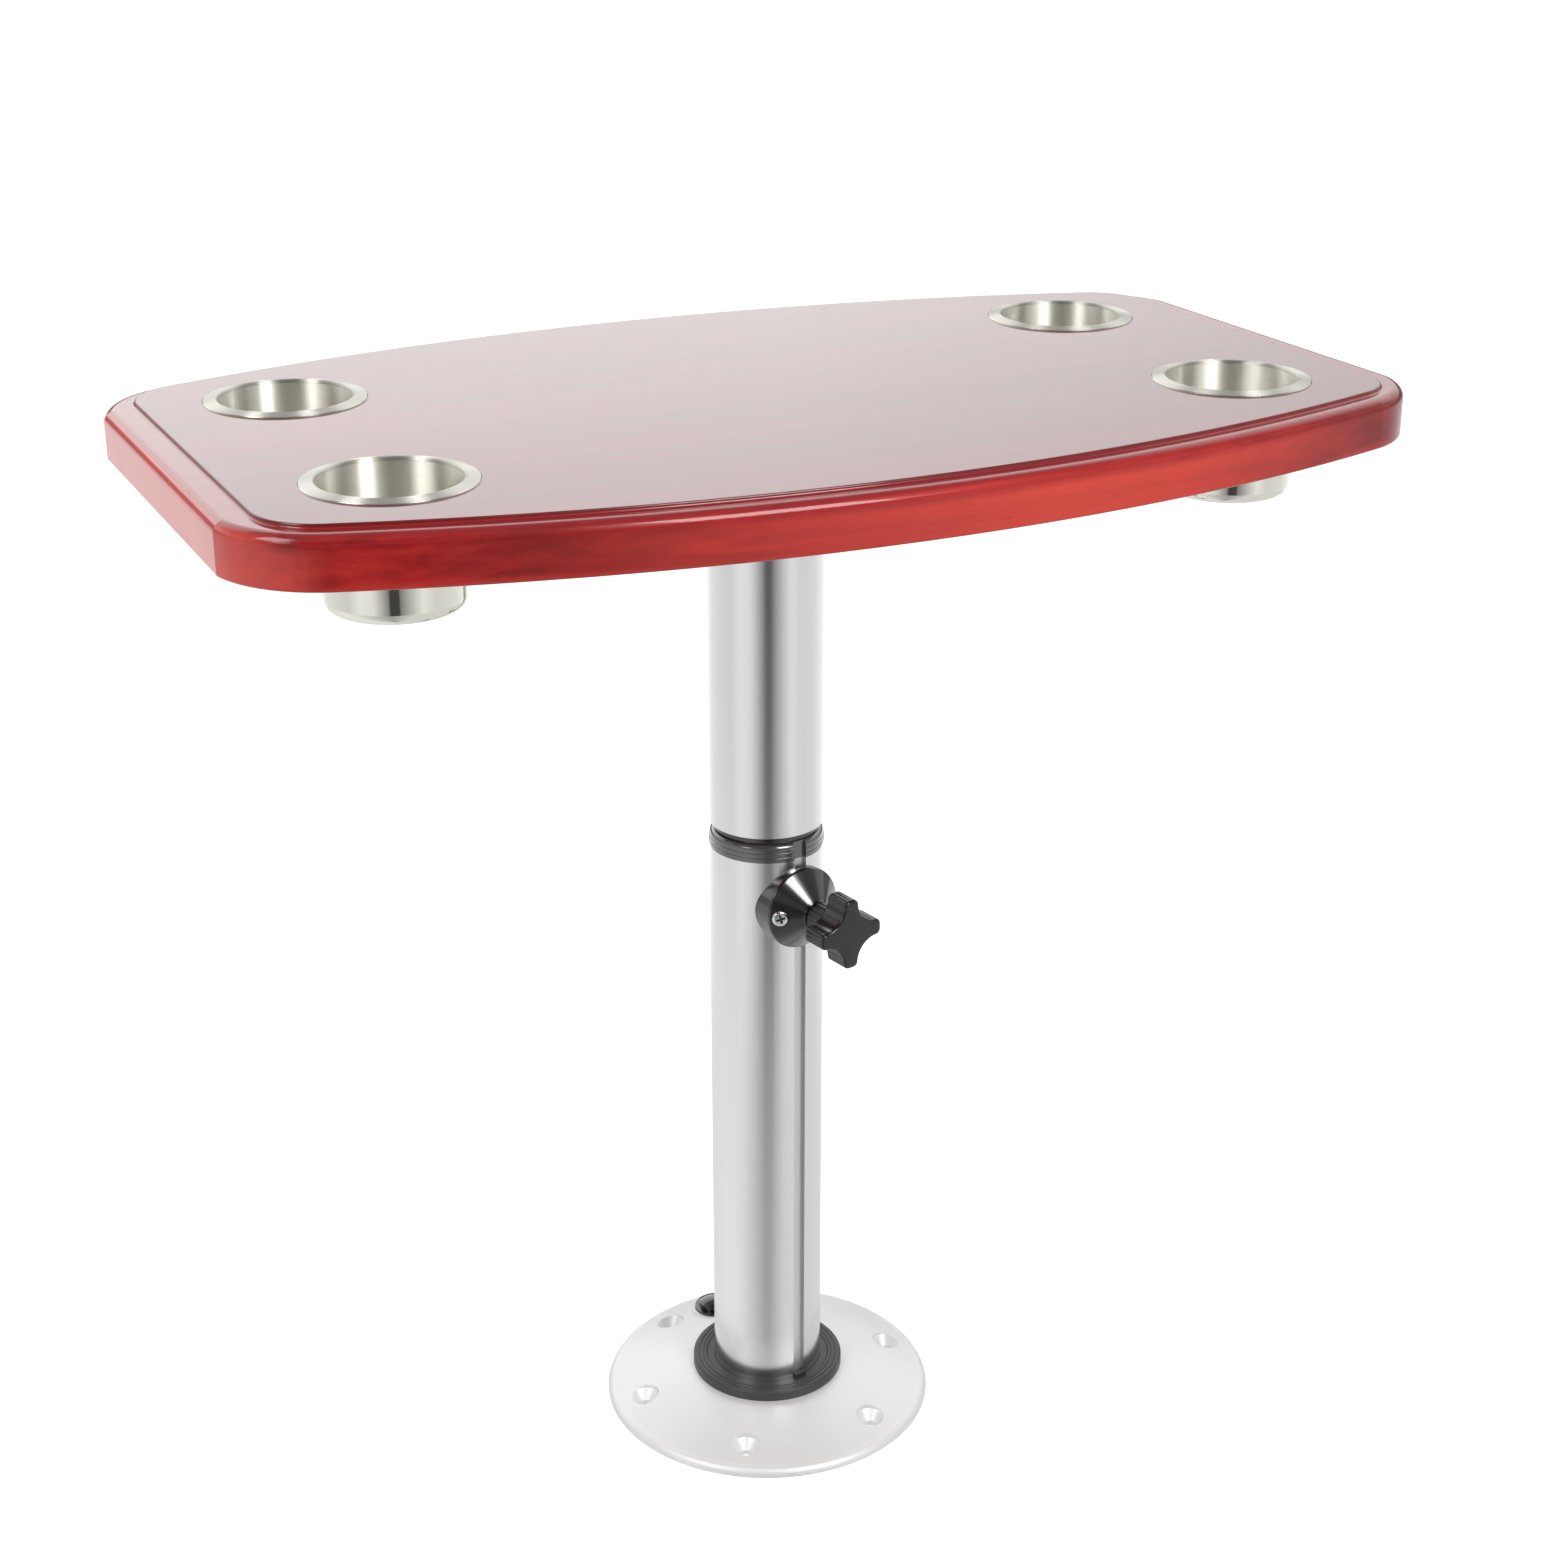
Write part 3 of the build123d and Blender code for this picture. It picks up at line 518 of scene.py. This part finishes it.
def brushed_steel(graph):
    """Spun stainless sheet: satin with fine rings inside each cup, polished outside; painted light lightens
    the inside and painted shade darkens the rim.
    """
    across, along, level = cup_local(graph)
    radius = (across * across + along * along) ** 0.5
    outward = graph.vector(across / radius, along / radius, -1.0)
    outside = graph.step(graph.dot(graph.facing(), outward), *cup_outside_span)
    spun = graph.vector(radius * spun_ring_scale, level * spun_ring_scale)
    rings = graph.noise(spun, detail=3.0, roughness=0.65)
    haze = graph.noise(graph.place(cup_haze_scale))
    satin = 0.35 + rings * 0.10 + haze * 0.05
    polish = 0.04 + haze * 0.03
    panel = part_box("table_top")[1].z
    rim = graph.step(level, panel, panel + cup_rim_rise * mm)
    # Painted light lightens the inside against the shade of its own walls; painted shade darkens the rim
    tone = 0.88 - outside * 0.08 - rim * 0.28 + (rings - 0.5) * 0.12
    return {
        "Base Color": graph.grey(tone, stainless_tint),
        "Roughness": satin + (polish - satin) * outside,
        "Normal": graph.bump(rings * (1.0 - outside), strength=0.05, distance=0.1 * mm),
    }


finishes = {
    "wood": material(
        "lacquered_mahogany",
        lacquered_mahogany,
        Specular_IOR_Level=0.12,
        Coat_Roughness=0.04,
    ),
    "cup_steel": material(
        "brushed_steel",
        brushed_steel,
        Metallic=1.0,
        Anisotropic=1.0,
        Anisotropic_Rotation=0.25,
    ),
    "tube_aluminium": material("drawn_aluminium", drawn_aluminium, Metallic=1.0),
    "cast_aluminium": material("cast_aluminium", cast_aluminium, Metallic=0.35),
    "gloss_black": material(
        "gloss_black",
        moulded_black(level=0.012, roughness=0.15, texture_scale=400.0, texture=0.02),
        Specular_IOR_Level=0.6,
        Coat_Weight=0.9,
        Coat_Roughness=0.08,
    ),
    "collar_black": material(
        "collar_black",
        moulded_black(level=0.065, roughness=0.16, texture_scale=400.0, texture=0.02),
        Specular_IOR_Level=1.0,
        Coat_Weight=1.0,
        Coat_Roughness=0.08,
    ),
    "satin_black": material(
        "satin_black",
        moulded_black(level=0.010, roughness=0.20, texture_scale=1800.0, texture=0.05),
        Specular_IOR_Level=0.6,
    ),
    "bush_black": material(
        "bush_black",
        moulded_black(level=0.050, roughness=0.42, texture_scale=1200.0, texture=0.12),
    ),
    "nylon": material("natural_nylon", natural_nylon),
    "plated_steel": material("plated_steel", plated_steel, Metallic=1.0),
}

node_finishes = {
    "wood": ["table_top"],
    "cup_steel": [name for name in frame["nodes"] if name.startswith("cup_holder_")],
    "tube_aluminium": ["lower_tube", "upper_tube", "inner_tube"],
    "cast_aluminium": ["base_plate", "table_flange"],
    "gloss_black": ["upper_tube_ring", "clamp_housing", "button_bezel", "release_button"],
    "collar_black": ["collar_bush"],
    "satin_black": ["clamp_knob", "tube_foot", "inner_tube_plug"],
    "bush_black": ["base_bush"],
    "nylon": ["guide_bush", "pressure_pad"],
    "plated_steel": [
        "clamp_housing_screws",
        "clamp_stud",
        "king_pin",
        "king_pin_nut",
        "lock_latch",
        "latch_cover",
        "latch_cover_screws",
        "latch_spring",
        "table_flange_screws",
        "flange_set_screws",
    ],
}
for finish, names in node_finishes.items():
    for name in names:
        mesh = frame["nodes"][name].data
        mesh.materials.clear()
        mesh.materials.append(finishes[finish])

joints = {joint["name"]: joint for joint in frame["joints"]}
clamp_axis = Vector(joints["knob_turn"]["axis"])
clamp_middle = Vector(joints["knob_turn"]["pos_m"])
latch_axis = Vector(joints["latch_slide"]["axis"])


def new_object(name, data):
    made = bpy.data.objects.new(name, data)
    bpy.context.scene.collection.objects.link(made)
    return made


def stand_for(piece, body, node):
    """Shows a finished piece in place of a solid, on the solid's body."""
    piece.data.shade_smooth()
    piece.data.set_sharp_from_angle(angle=sharp_angle)
    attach(piece, body)
    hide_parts(node)


def ring_skin(name, rings):
    """Closed mesh through rings of equally many points, with the first and last filled from their middle."""
    shape = bmesh.new()
    rows = [[shape.verts.new(point) for point in ring] for ring in rings]
    turns = [(index, (index + 1) % len(rows[0])) for index in range(len(rows[0]))]
    for lower, upper in zip(rows, rows[1:]):
        for index, after in turns:
            shape.faces.new((lower[index], lower[after], upper[after], upper[index]))
    for row in (rows[0], rows[-1]):
        middle = shape.verts.new(sum((vert.co for vert in row), Vector()) / len(row))
        for index, after in turns:
            shape.faces.new((row[index], row[after], middle))
    bmesh.ops.recalc_face_normals(shape, faces=shape.faces)
    mesh = bpy.data.meshes.new(name)
    shape.to_mesh(mesh)
    shape.free()
    return mesh


def circle_points(count, radius, level):
    """Points at the same height on a circle, or on any outline given as a radius for each turn."""
    turns = [2 * pi * index / count for index in range(count)]
    reach = [radius(turn) if callable(radius) else radius for turn in turns]
    return [Vector((far * cos(turn), far * sin(turn), level)) for far, turn in zip(reach, turns)]


def new_tree(name, inputs):
    """Geometry Nodes tree with its named inputs and one output; gives the tree, its graph and its inputs."""
    tree = bpy.data.node_groups.new(name, "GeometryNodeTree")
    for label, kind in inputs.items():
        tree.interface.new_socket(label, in_out="INPUT", socket_type="NodeSocket" + kind)
    tree.interface.new_socket("Pieces", in_out="OUTPUT", socket_type="NodeSocketGeometry")
    graph = Graph(tree)
    return tree, graph, graph.node("NodeGroupInput")


def end_tree(graph, pieces, finish):
    """Ends a tree in plain geometry with one finish."""
    solid = graph.node("GeometryNodeRealizeInstances", None, {"Geometry": pieces})
    sockets = {"Geometry": solid, "Material": finish}
    graph.node("NodeGroupOutput", None, {"Pieces": graph.node("GeometryNodeSetMaterial", None, sockets)})


def grown(name, mesh, tree, inputs):
    """Plain mesh object that a tree of Geometry Nodes makes from a starting mesh."""
    made = new_object(name, mesh)
    modifier = made.modifiers.new(name, "NODES")
    modifier.node_group = tree
    items = tree.interface.items_tree
    identifiers = {item.name: item.identifier for item in items if item.in_out == "INPUT"}
    for label, value in inputs.items():
        modifier[identifiers[label]] = value
    shown = made.evaluated_get(bpy.context.evaluated_depsgraph_get())
    result = bpy.data.meshes.new_from_object(shown)
    made.modifiers.remove(modifier)
    made.data = result
    return made


def cross_reach(turn):
    """Outline of a cross recess in a screw head of radius 1: four arms with parallel sides."""
    aside = abs(sin((turn + pi / 4) % (pi / 2) - pi / 4))
    return min(cross_arm, cross_half_width / aside) if aside > 0 else cross_arm


def screw_head():
    """Pan head of radius and height 1 with a cross recess, whose floor is marked for painted shade."""
    rings = [circle_points(screw_facets, 1.0, 0.0), circle_points(screw_facets, 1.0, head_wall)]
    for step in range(1, head_steps + 1):
        lean = step / head_steps * pi / 2
        reach = head_flat + (1.0 - head_flat) * cos(lean)
        rings.append(circle_points(screw_facets, reach, head_wall + (1.0 - head_wall) * sin(lean)))
    rings.append(circle_points(screw_facets, cross_reach, 1.0))
    rings.append(circle_points(screw_facets, lambda turn: cross_taper * cross_reach(turn), cross_floor))
    mesh = ring_skin("screw_head", rings)
    shade = mesh.attributes.new("recess", "FLOAT", "POINT")
    for vert, entry in zip(mesh.vertices, shade.data):
        entry.value = float(isclose(vert.co.z, cross_floor, rel_tol=0.001))
    return new_object("screw_head", mesh)


def screw_tree():
    """Geometry Nodes: a screw on each point of a mesh, with its head along the point's own axis."""
    inputs = {"Points": "Geometry", "Head": "Object", "Finish": "Material"}
    inputs.update({"Head Radius": "Float", "Head Height": "Float"})
    inputs.update({"Shank Radius": "Float", "Shank Length": "Float"})
    tree, graph, given = new_tree("screws", inputs)
    radius, length = given.out("Head Radius"), given.out("Shank Length")
    size = graph.vector(radius, radius, given.out("Head Height"))
    head = graph.node("GeometryNodeObjectInfo", None, {"Object": given.out("Head")}).out("Geometry")
    head = graph.node("GeometryNodeTransform", None, {"Geometry": head, "Scale": size})
    sockets = {"Vertices": shank_facets, "Radius": given.out("Shank Radius"), "Depth": length}
    shank = graph.node("GeometryNodeMeshCylinder", None, sockets).out("Mesh")
    sockets = {"Geometry": shank, "Translation": graph.vector(0.0, 0.0, length * -0.5)}
    shank = graph.node("GeometryNodeTransform", None, sockets)
    screw = graph.node("GeometryNodeJoinGeometry", None, {"Geometry": [head, shank]})
    axis = graph.node("GeometryNodeInputNamedAttribute", {"data_type": "FLOAT_VECTOR"}, {"Name": "axis"})
    turn = graph.node("FunctionNodeAlignRotationToVector", {"axis": "Z"}, {"Vector": axis})
    sockets = {"Points": given.out("Points"), "Instance": screw, "Rotation": turn}
    end_tree(graph, graph.node("GeometryNodeInstanceOnPoints", None, sockets), given.out("Finish"))
    return tree


def add_screws(node, body, places, head_size, shank_size):
    """One set of screws: places are pairs of a seat and the direction that the head faces."""
    points = bpy.data.meshes.new(node)
    points.from_pydata([seat for seat, axis in places], [], [])
    axes = points.attributes.new("axis", "FLOAT_VECTOR", "POINT")
    for entry, (seat, axis) in zip(axes.data, places):
        entry.vector = axis
    inputs = {"Head": unit_head, "Finish": finishes["plated_steel"]}
    inputs.update({"Head Radius": head_size[0] * mm, "Head Height": head_size[1] * mm})
    inputs.update({"Shank Radius": shank_size[0] * mm, "Shank Length": shank_size[1] * mm})
    stand_for(grown("screws_of_" + node, points, screws, inputs), body, node)


def clamp_screw_places():
    """Seats beside the clamp's axis."""
    for side in (-1, 1):
        axis = Matrix.Rotation(side * clamp_screw_turn, 3, "Z") @ clamp_axis
        yield clamp_middle + axis * clamp_screw_seat * mm, axis


def flange_screw_places():
    """Seats round the flange under the table."""
    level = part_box("table_flange_screws")[0].z + flange_screw_head[1] * mm
    for point in circle_points(flange_screw_count, flange_screw_circle * mm, level):
        yield point, -up


def cover_screw_places():
    """Seats at the corners of the latch's cover."""
    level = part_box("latch_cover_screws")[0].z + cover_screw_head[1] * mm
    aside = up.cross(latch_axis)
    for along in (-cover_screw_along, cover_screw_along):
        for across in (-cover_screw_across, cover_screw_across):
            seat = (latch_axis * along + aside * across) * mm
            yield Vector((seat.x, seat.y, level)), -up


def bead_tree():
    """Geometry Nodes: a bead round the pole at each point of a mesh, closed or from one angle to another."""
    inputs = {"Points": "Geometry", "Finish": "Material", "Closed": "Bool"}
    inputs.update({"Bead Radius": "Float", "Start": "Float", "Sweep": "Float"})
    tree, graph, given = new_tree("beads", inputs)
    sockets = {"Resolution": bead_points, "Radius": 1.0}
    sockets.update({"Start Angle": given.out("Start"), "Sweep Angle": given.out("Sweep")})
    arc = graph.node("GeometryNodeCurveArc", None, sockets)
    sockets = {"Geometry": arc, "Cyclic": given.out("Closed")}
    arc = graph.node("GeometryNodeSetSplineCyclic", None, sockets)
    reach = graph.node("GeometryNodeInputNamedAttribute", {"data_type": "FLOAT"}, {"Name": "reach"})
    sockets = {"Points": given.out("Points"), "Instance": arc, "Scale": graph.vector(reach, reach, 1.0)}
    arcs = graph.node("GeometryNodeInstanceOnPoints", None, sockets)
    arcs = graph.node("GeometryNodeRealizeInstances", None, {"Geometry": arcs})
    sockets = {"Resolution": bead_facets, "Radius": given.out("Bead Radius")}
    section = graph.node("GeometryNodeCurvePrimitiveCircle", None, sockets)
    sockets = {"Curve": arcs, "Profile Curve": section, "Fill Caps": True}
    end_tree(graph, graph.node("GeometryNodeCurveToMesh", None, sockets), given.out("Finish"))
    return tree


def add_beads(name, places, bead, gap, finish):
    """Beads round the pole: places are pairs of a level and a radius, gap is the angle left at the groove."""
    points = bpy.data.meshes.new(name)
    points.from_pydata([(0.0, 0.0, level) for level, reach in places], [], [])
    reaches = points.attributes.new("reach", "FLOAT", "POINT")
    for entry, (level, reach) in zip(reaches.data, places):
        entry.value = reach
    closed = gap == 0
    sweep = 2 * pi * (1 - 1 / bead_points) if closed else 2 * pi - gap
    inputs = {"Finish": finishes[finish], "Closed": closed, "Bead Radius": bead * mm}
    inputs.update({"Start": atan2(clamp_axis.y, clamp_axis.x) + gap / 2, "Sweep": sweep})
    piece = grown(name, points, beads, inputs)
    piece.data.shade_smooth()
    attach(piece, "stand")


def arc_points(x, y, radius, start, end, count):
    """Points on a flat arc, without the one at its end."""
    leans = [start + (end - start) * index / count for index in range(count)]
    return [Vector((x + radius * cos(lean), y + radius * sin(lean))) for lean in leans]


def half_lobe():
    """Half a lobe of the knob, from the middle of its end to the waist, by a line and two arcs that touch."""
    tip, half, waist = knob_span / 2, knob_lobe_width / 2, knob_waist / 2 * sqrt(0.5)
    centre = (tip**2 + half**2 - 2 * waist**2) / (2 * (tip + half - 2 * waist))
    hollow = sqrt(2) * (centre - waist)
    round_x = tip - knob_tip_round
    round_y = centre - sqrt((hollow + knob_tip_round) ** 2 - (round_x - centre) ** 2)
    touch = atan2(centre - round_y, centre - round_x)
    to_waist = -0.75 * pi
    points = [Vector((tip, round_y * index / lobe_end_points)) for index in range(lobe_end_points)]
    points += arc_points(round_x, round_y, knob_tip_round, 0.0, touch, lobe_round_points)
    points += arc_points(centre, centre, hollow, touch - pi, to_waist, lobe_hollow_points)
    return points, Vector((waist, waist))


def star_outline():
    """Outline of the four-lobed knob, anticlockwise from the middle of one lobe's end."""
    rising, waist = half_lobe()
    falling = [Vector((point.y, point.x)) for point in reversed(rising[1:])]
    quarter = rising + [waist] + falling
    outline = []
    for turn in range(4):
        spin = Matrix.Rotation(turn * pi / 2, 2)
        outline += [spin @ point for point in quarter]
    return outline


def inset(outline, amounts):
    """Outline moved inwards, by one amount or by one for each point."""
    moved = []
    for index, point in enumerate(outline):
        along = outline[(index + 1) % len(outline)] - outline[index - 1]
        outward = Vector((along.y, -along.x)).normalized()
        moved.append(point - outward * (amounts[index] if isinstance(amounts, list) else amounts))
    return moved


def notch_amounts(outline):
    """How deep the fine grooves cut into each point of the knob's lobe ends."""
    amounts = []
    for point in outline:
        aside, reach = sorted((abs(point.x), abs(point.y)))
        nearest = min(abs(aside - abs(notch)) for notch in knob_notches)
        depth = knob_notch_depth * max(0.0, 1.0 - nearest / knob_notch_width)
        amounts.append(depth if reach > knob_span / 2 - knob_tip_round else 0.0)
    return amounts


def hub_reach(turn):
    """Outline of the knob's fluted hub."""
    return hub_radius - hub_flute_depth * (0.5 + 0.5 * cos(hub_flutes * turn))


def clamp_knob():
    """Knob with rounded rims, fine grooves along the lobe ends and a fluted hub."""
    plain = star_outline()
    grooved = inset(plain, notch_amounts(plain))
    edge = knob_edge_round
    leans = [index / knob_rim_steps * pi / 2 for index in range(knob_rim_steps + 1)]
    rims = [(edge * (1 - sin(lean)), edge * (1 - cos(lean))) for lean in leans]
    rings = [(inset(plain, shrink), rise) for shrink, rise in rims]
    rings += [(grooved, edge + knob_notch_depth), (grooved, knob_depth - edge - knob_notch_depth)]
    rings += [(inset(plain, shrink), knob_depth - rise) for shrink, rise in reversed(rims)]
    head_start = hub_start + hub_length
    head = [[Vector((*point, head_start + rise)) for point in outline] for outline, rise in rings]
    facets = flute_points * hub_flutes
    hub = [
        circle_points(facets, hub_radius - 2 * hub_flute_depth, hub_start),
        circle_points(facets, hub_reach, hub_start + hub_flute_depth),
        circle_points(facets, hub_reach, head_start + edge),
    ]
    shape = bmesh.new()
    for name, rows in (("knob_head", head), ("knob_hub", hub)):
        shape.from_mesh(ring_skin(name, rows))
    mesh = bpy.data.meshes.new("knob")
    shape.to_mesh(mesh)
    shape.free()
    turn = Matrix((up, clamp_axis.cross(up), clamp_axis)).transposed()
    mesh.transform(Matrix.Translation(clamp_middle) @ turn.to_4x4() @ Matrix.Scale(mm, 4))
    mesh.materials.append(finishes["satin_black"])
    stand_for(new_object("knob", mesh), "clamp_knob", "clamp_knob")


def bow(half_width, rise, across):
    """Height over its chord of a circular arc, at a place across it."""
    radius = (half_width**2 + rise**2) / (2 * rise)
    return sqrt(radius**2 - across**2) - (radius - rise)


def latch_spring():
    """Bowed leaf spring of the latch."""
    low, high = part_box("latch_spring")
    button = sum(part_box("release_button"), Vector())
    way = Vector((button.x, button.y, 0.0)).normalized()
    aside = up.cross(way)
    root = way * spring_root * mm
    outer = spring_span / 2, spring_rise
    inner = spring_span / 2 - spring_sheet, spring_rise - spring_sheet
    rings = []
    for index in range(spring_facets + 1):
        share = 2 * index / spring_facets - 1
        corners = []
        for (width, rise), levels in ((outer, (low.z, high.z)), (inner, (high.z, low.z))):
            point = root + (way * bow(width, rise, share * width) + aside * share * width) * mm
            corners += [Vector((point.x, point.y, level)) for level in levels]
        rings.append(corners)
    mesh = ring_skin("leaf_spring", rings)
    mesh.materials.append(finishes["plated_steel"])
    piece = new_object("leaf_spring", mesh)
    stand_for(piece, "stand", "latch_spring")
    slide = max(abs(limit) for limit in joints["latch_slide"]["range_m"])
    keep = 1 - slide / (spring_rise * mm)
    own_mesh(piece)


def aim(thing, place, way):
    """Puts a camera or a lamp in its place and points it."""
    thing.location = place
    thing.rotation_mode = "QUATERNION"
    thing.rotation_quaternion = way.to_track_quat("-Z", "Y")


def make_camera():
    data = bpy.data.cameras.new("camera")
    data.lens = camera_lens
    data.sensor_width = camera_sensor
    data.shift_x = camera_shift
    view = new_object("camera", data)
    aim(view, camera_place, camera_heading * cos(camera_pitch) - up * sin(camera_pitch))
    bpy.context.scene.camera = view


def make_world():
    """Even room light; what metal and lacquer mirror is a white studio with a dark gap to the front."""
    world = bpy.data.worlds.new("studio")
    bpy.context.scene.world = world
    world.use_nodes = True
    world.node_tree.nodes.clear()
    graph = Graph(world.node_tree)
    ray = graph.node("ShaderNodeTexCoord").out("Generated")
    height = graph.parts(ray)[2]
    to_right = graph.dot(ray, tuple(camera_heading.cross(up)))
    to_front = graph.dot(ray, tuple(-camera_heading))
    turn = graph.math("ARCTAN2", to_right, to_front) / (2 * pi) + 0.5
    studio = graph.ramp(turn, near_floor)
    for stops, low, high in studio_zones:
        studio = graph.mix(graph.step(height, low, high), studio, graph.ramp(turn, stops))
    studio = graph.mix(graph.step(height, *ceiling_span), studio, even(ceiling_light))
    lit = graph.mix(graph.mirrored(), even(room_light), studio)
    shown = graph.mix(graph.rays("Camera"), lit, white)
    sky = graph.node("ShaderNodeBackground", None, {"Color": shown, "Strength": 1.0})
    graph.node("ShaderNodeOutputWorld", None, {"Surface": sky})


def make_floor():
    """Pale floor that glows white to the camera and keeps the shadow."""
    mesh = bpy.data.meshes.new("floor")
    half = floor_size / 2
    corners = [(-half, -half, 0.0), (half, -half, 0.0), (half, half, 0.0), (-half, half, 0.0)]
    mesh.from_pydata(corners, [], [(0, 1, 2, 3)])
    floor = new_object("floor", mesh)
    floor.visible_glossy = False
    made = bpy.data.materials.new("floor")
    made.use_nodes = True
    made.node_tree.nodes.clear()
    graph = Graph(made.node_tree)
    cloud = graph.noise(graph.place(floor_cloud_scale))
    colour = graph.mix(cloud * floor_cloud_share, floor_colour, white)
    matt = graph.node("ShaderNodeBsdfDiffuse", None, {"Color": colour})
    strength = graph.most(graph.rays("Camera"), graph.mirrored()) * floor_glow
    glow = graph.node("ShaderNodeEmission", None, {"Color": white, "Strength": strength})
    both = graph.node("ShaderNodeAddShader", None, {0: matt, 1: glow})
    graph.node("ShaderNodeOutputMaterial", None, {"Surface": both})
    mesh.materials.append(made)


def soft_box(name, place, glow):
    """Soft lamp that the camera doesn't see, aimed at the table."""
    data = bpy.data.lights.new(name, "AREA")
    data.shape = "RECTANGLE"
    data.size = soft_box_width
    data.size_y = soft_box_height
    data.energy = glow * pi * soft_box_width * soft_box_height
    lamp = new_object(name, data)
    aim(lamp, place, lamp_aim - Vector(place))
    lamp.visible_camera = False


unit_head = screw_head()
screws = screw_tree()
add_screws("clamp_housing_screws", "stand", list(clamp_screw_places()), clamp_screw_head, clamp_screw_shank)
add_screws("table_flange_screws", "table", list(flange_screw_places()), flange_screw_head, flange_screw_shank)
add_screws("latch_cover_screws", "stand", list(cover_screw_places()), cover_screw_head, cover_screw_shank)
bpy.data.objects.remove(unit_head)
clamp_knob()
latch_spring()
beads = bead_tree()
tube_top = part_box("lower_tube")[1]
collar_places = [(tube_top.z + level * mm, tube_top.x) for level in collar_bead_levels]
groove_angle = 2 * asin(groove_width * mm / 2 / tube_top.x)
add_beads("collar_beads", collar_places, collar_bead, groove_angle, "collar_black")
bush_places = [(bush_top * mm, reach * mm) for reach in bush_bead_circles]
add_beads("bush_beads", bush_places, bush_bead, 0, "bush_black")

bpy.context.scene.view_settings.view_transform = "Standard"
make_camera()
make_world()
make_floor()
soft_box("left_lamp", left_lamp_place, left_lamp_glow)
soft_box("right_lamp", right_lamp_place, right_lamp_glow)
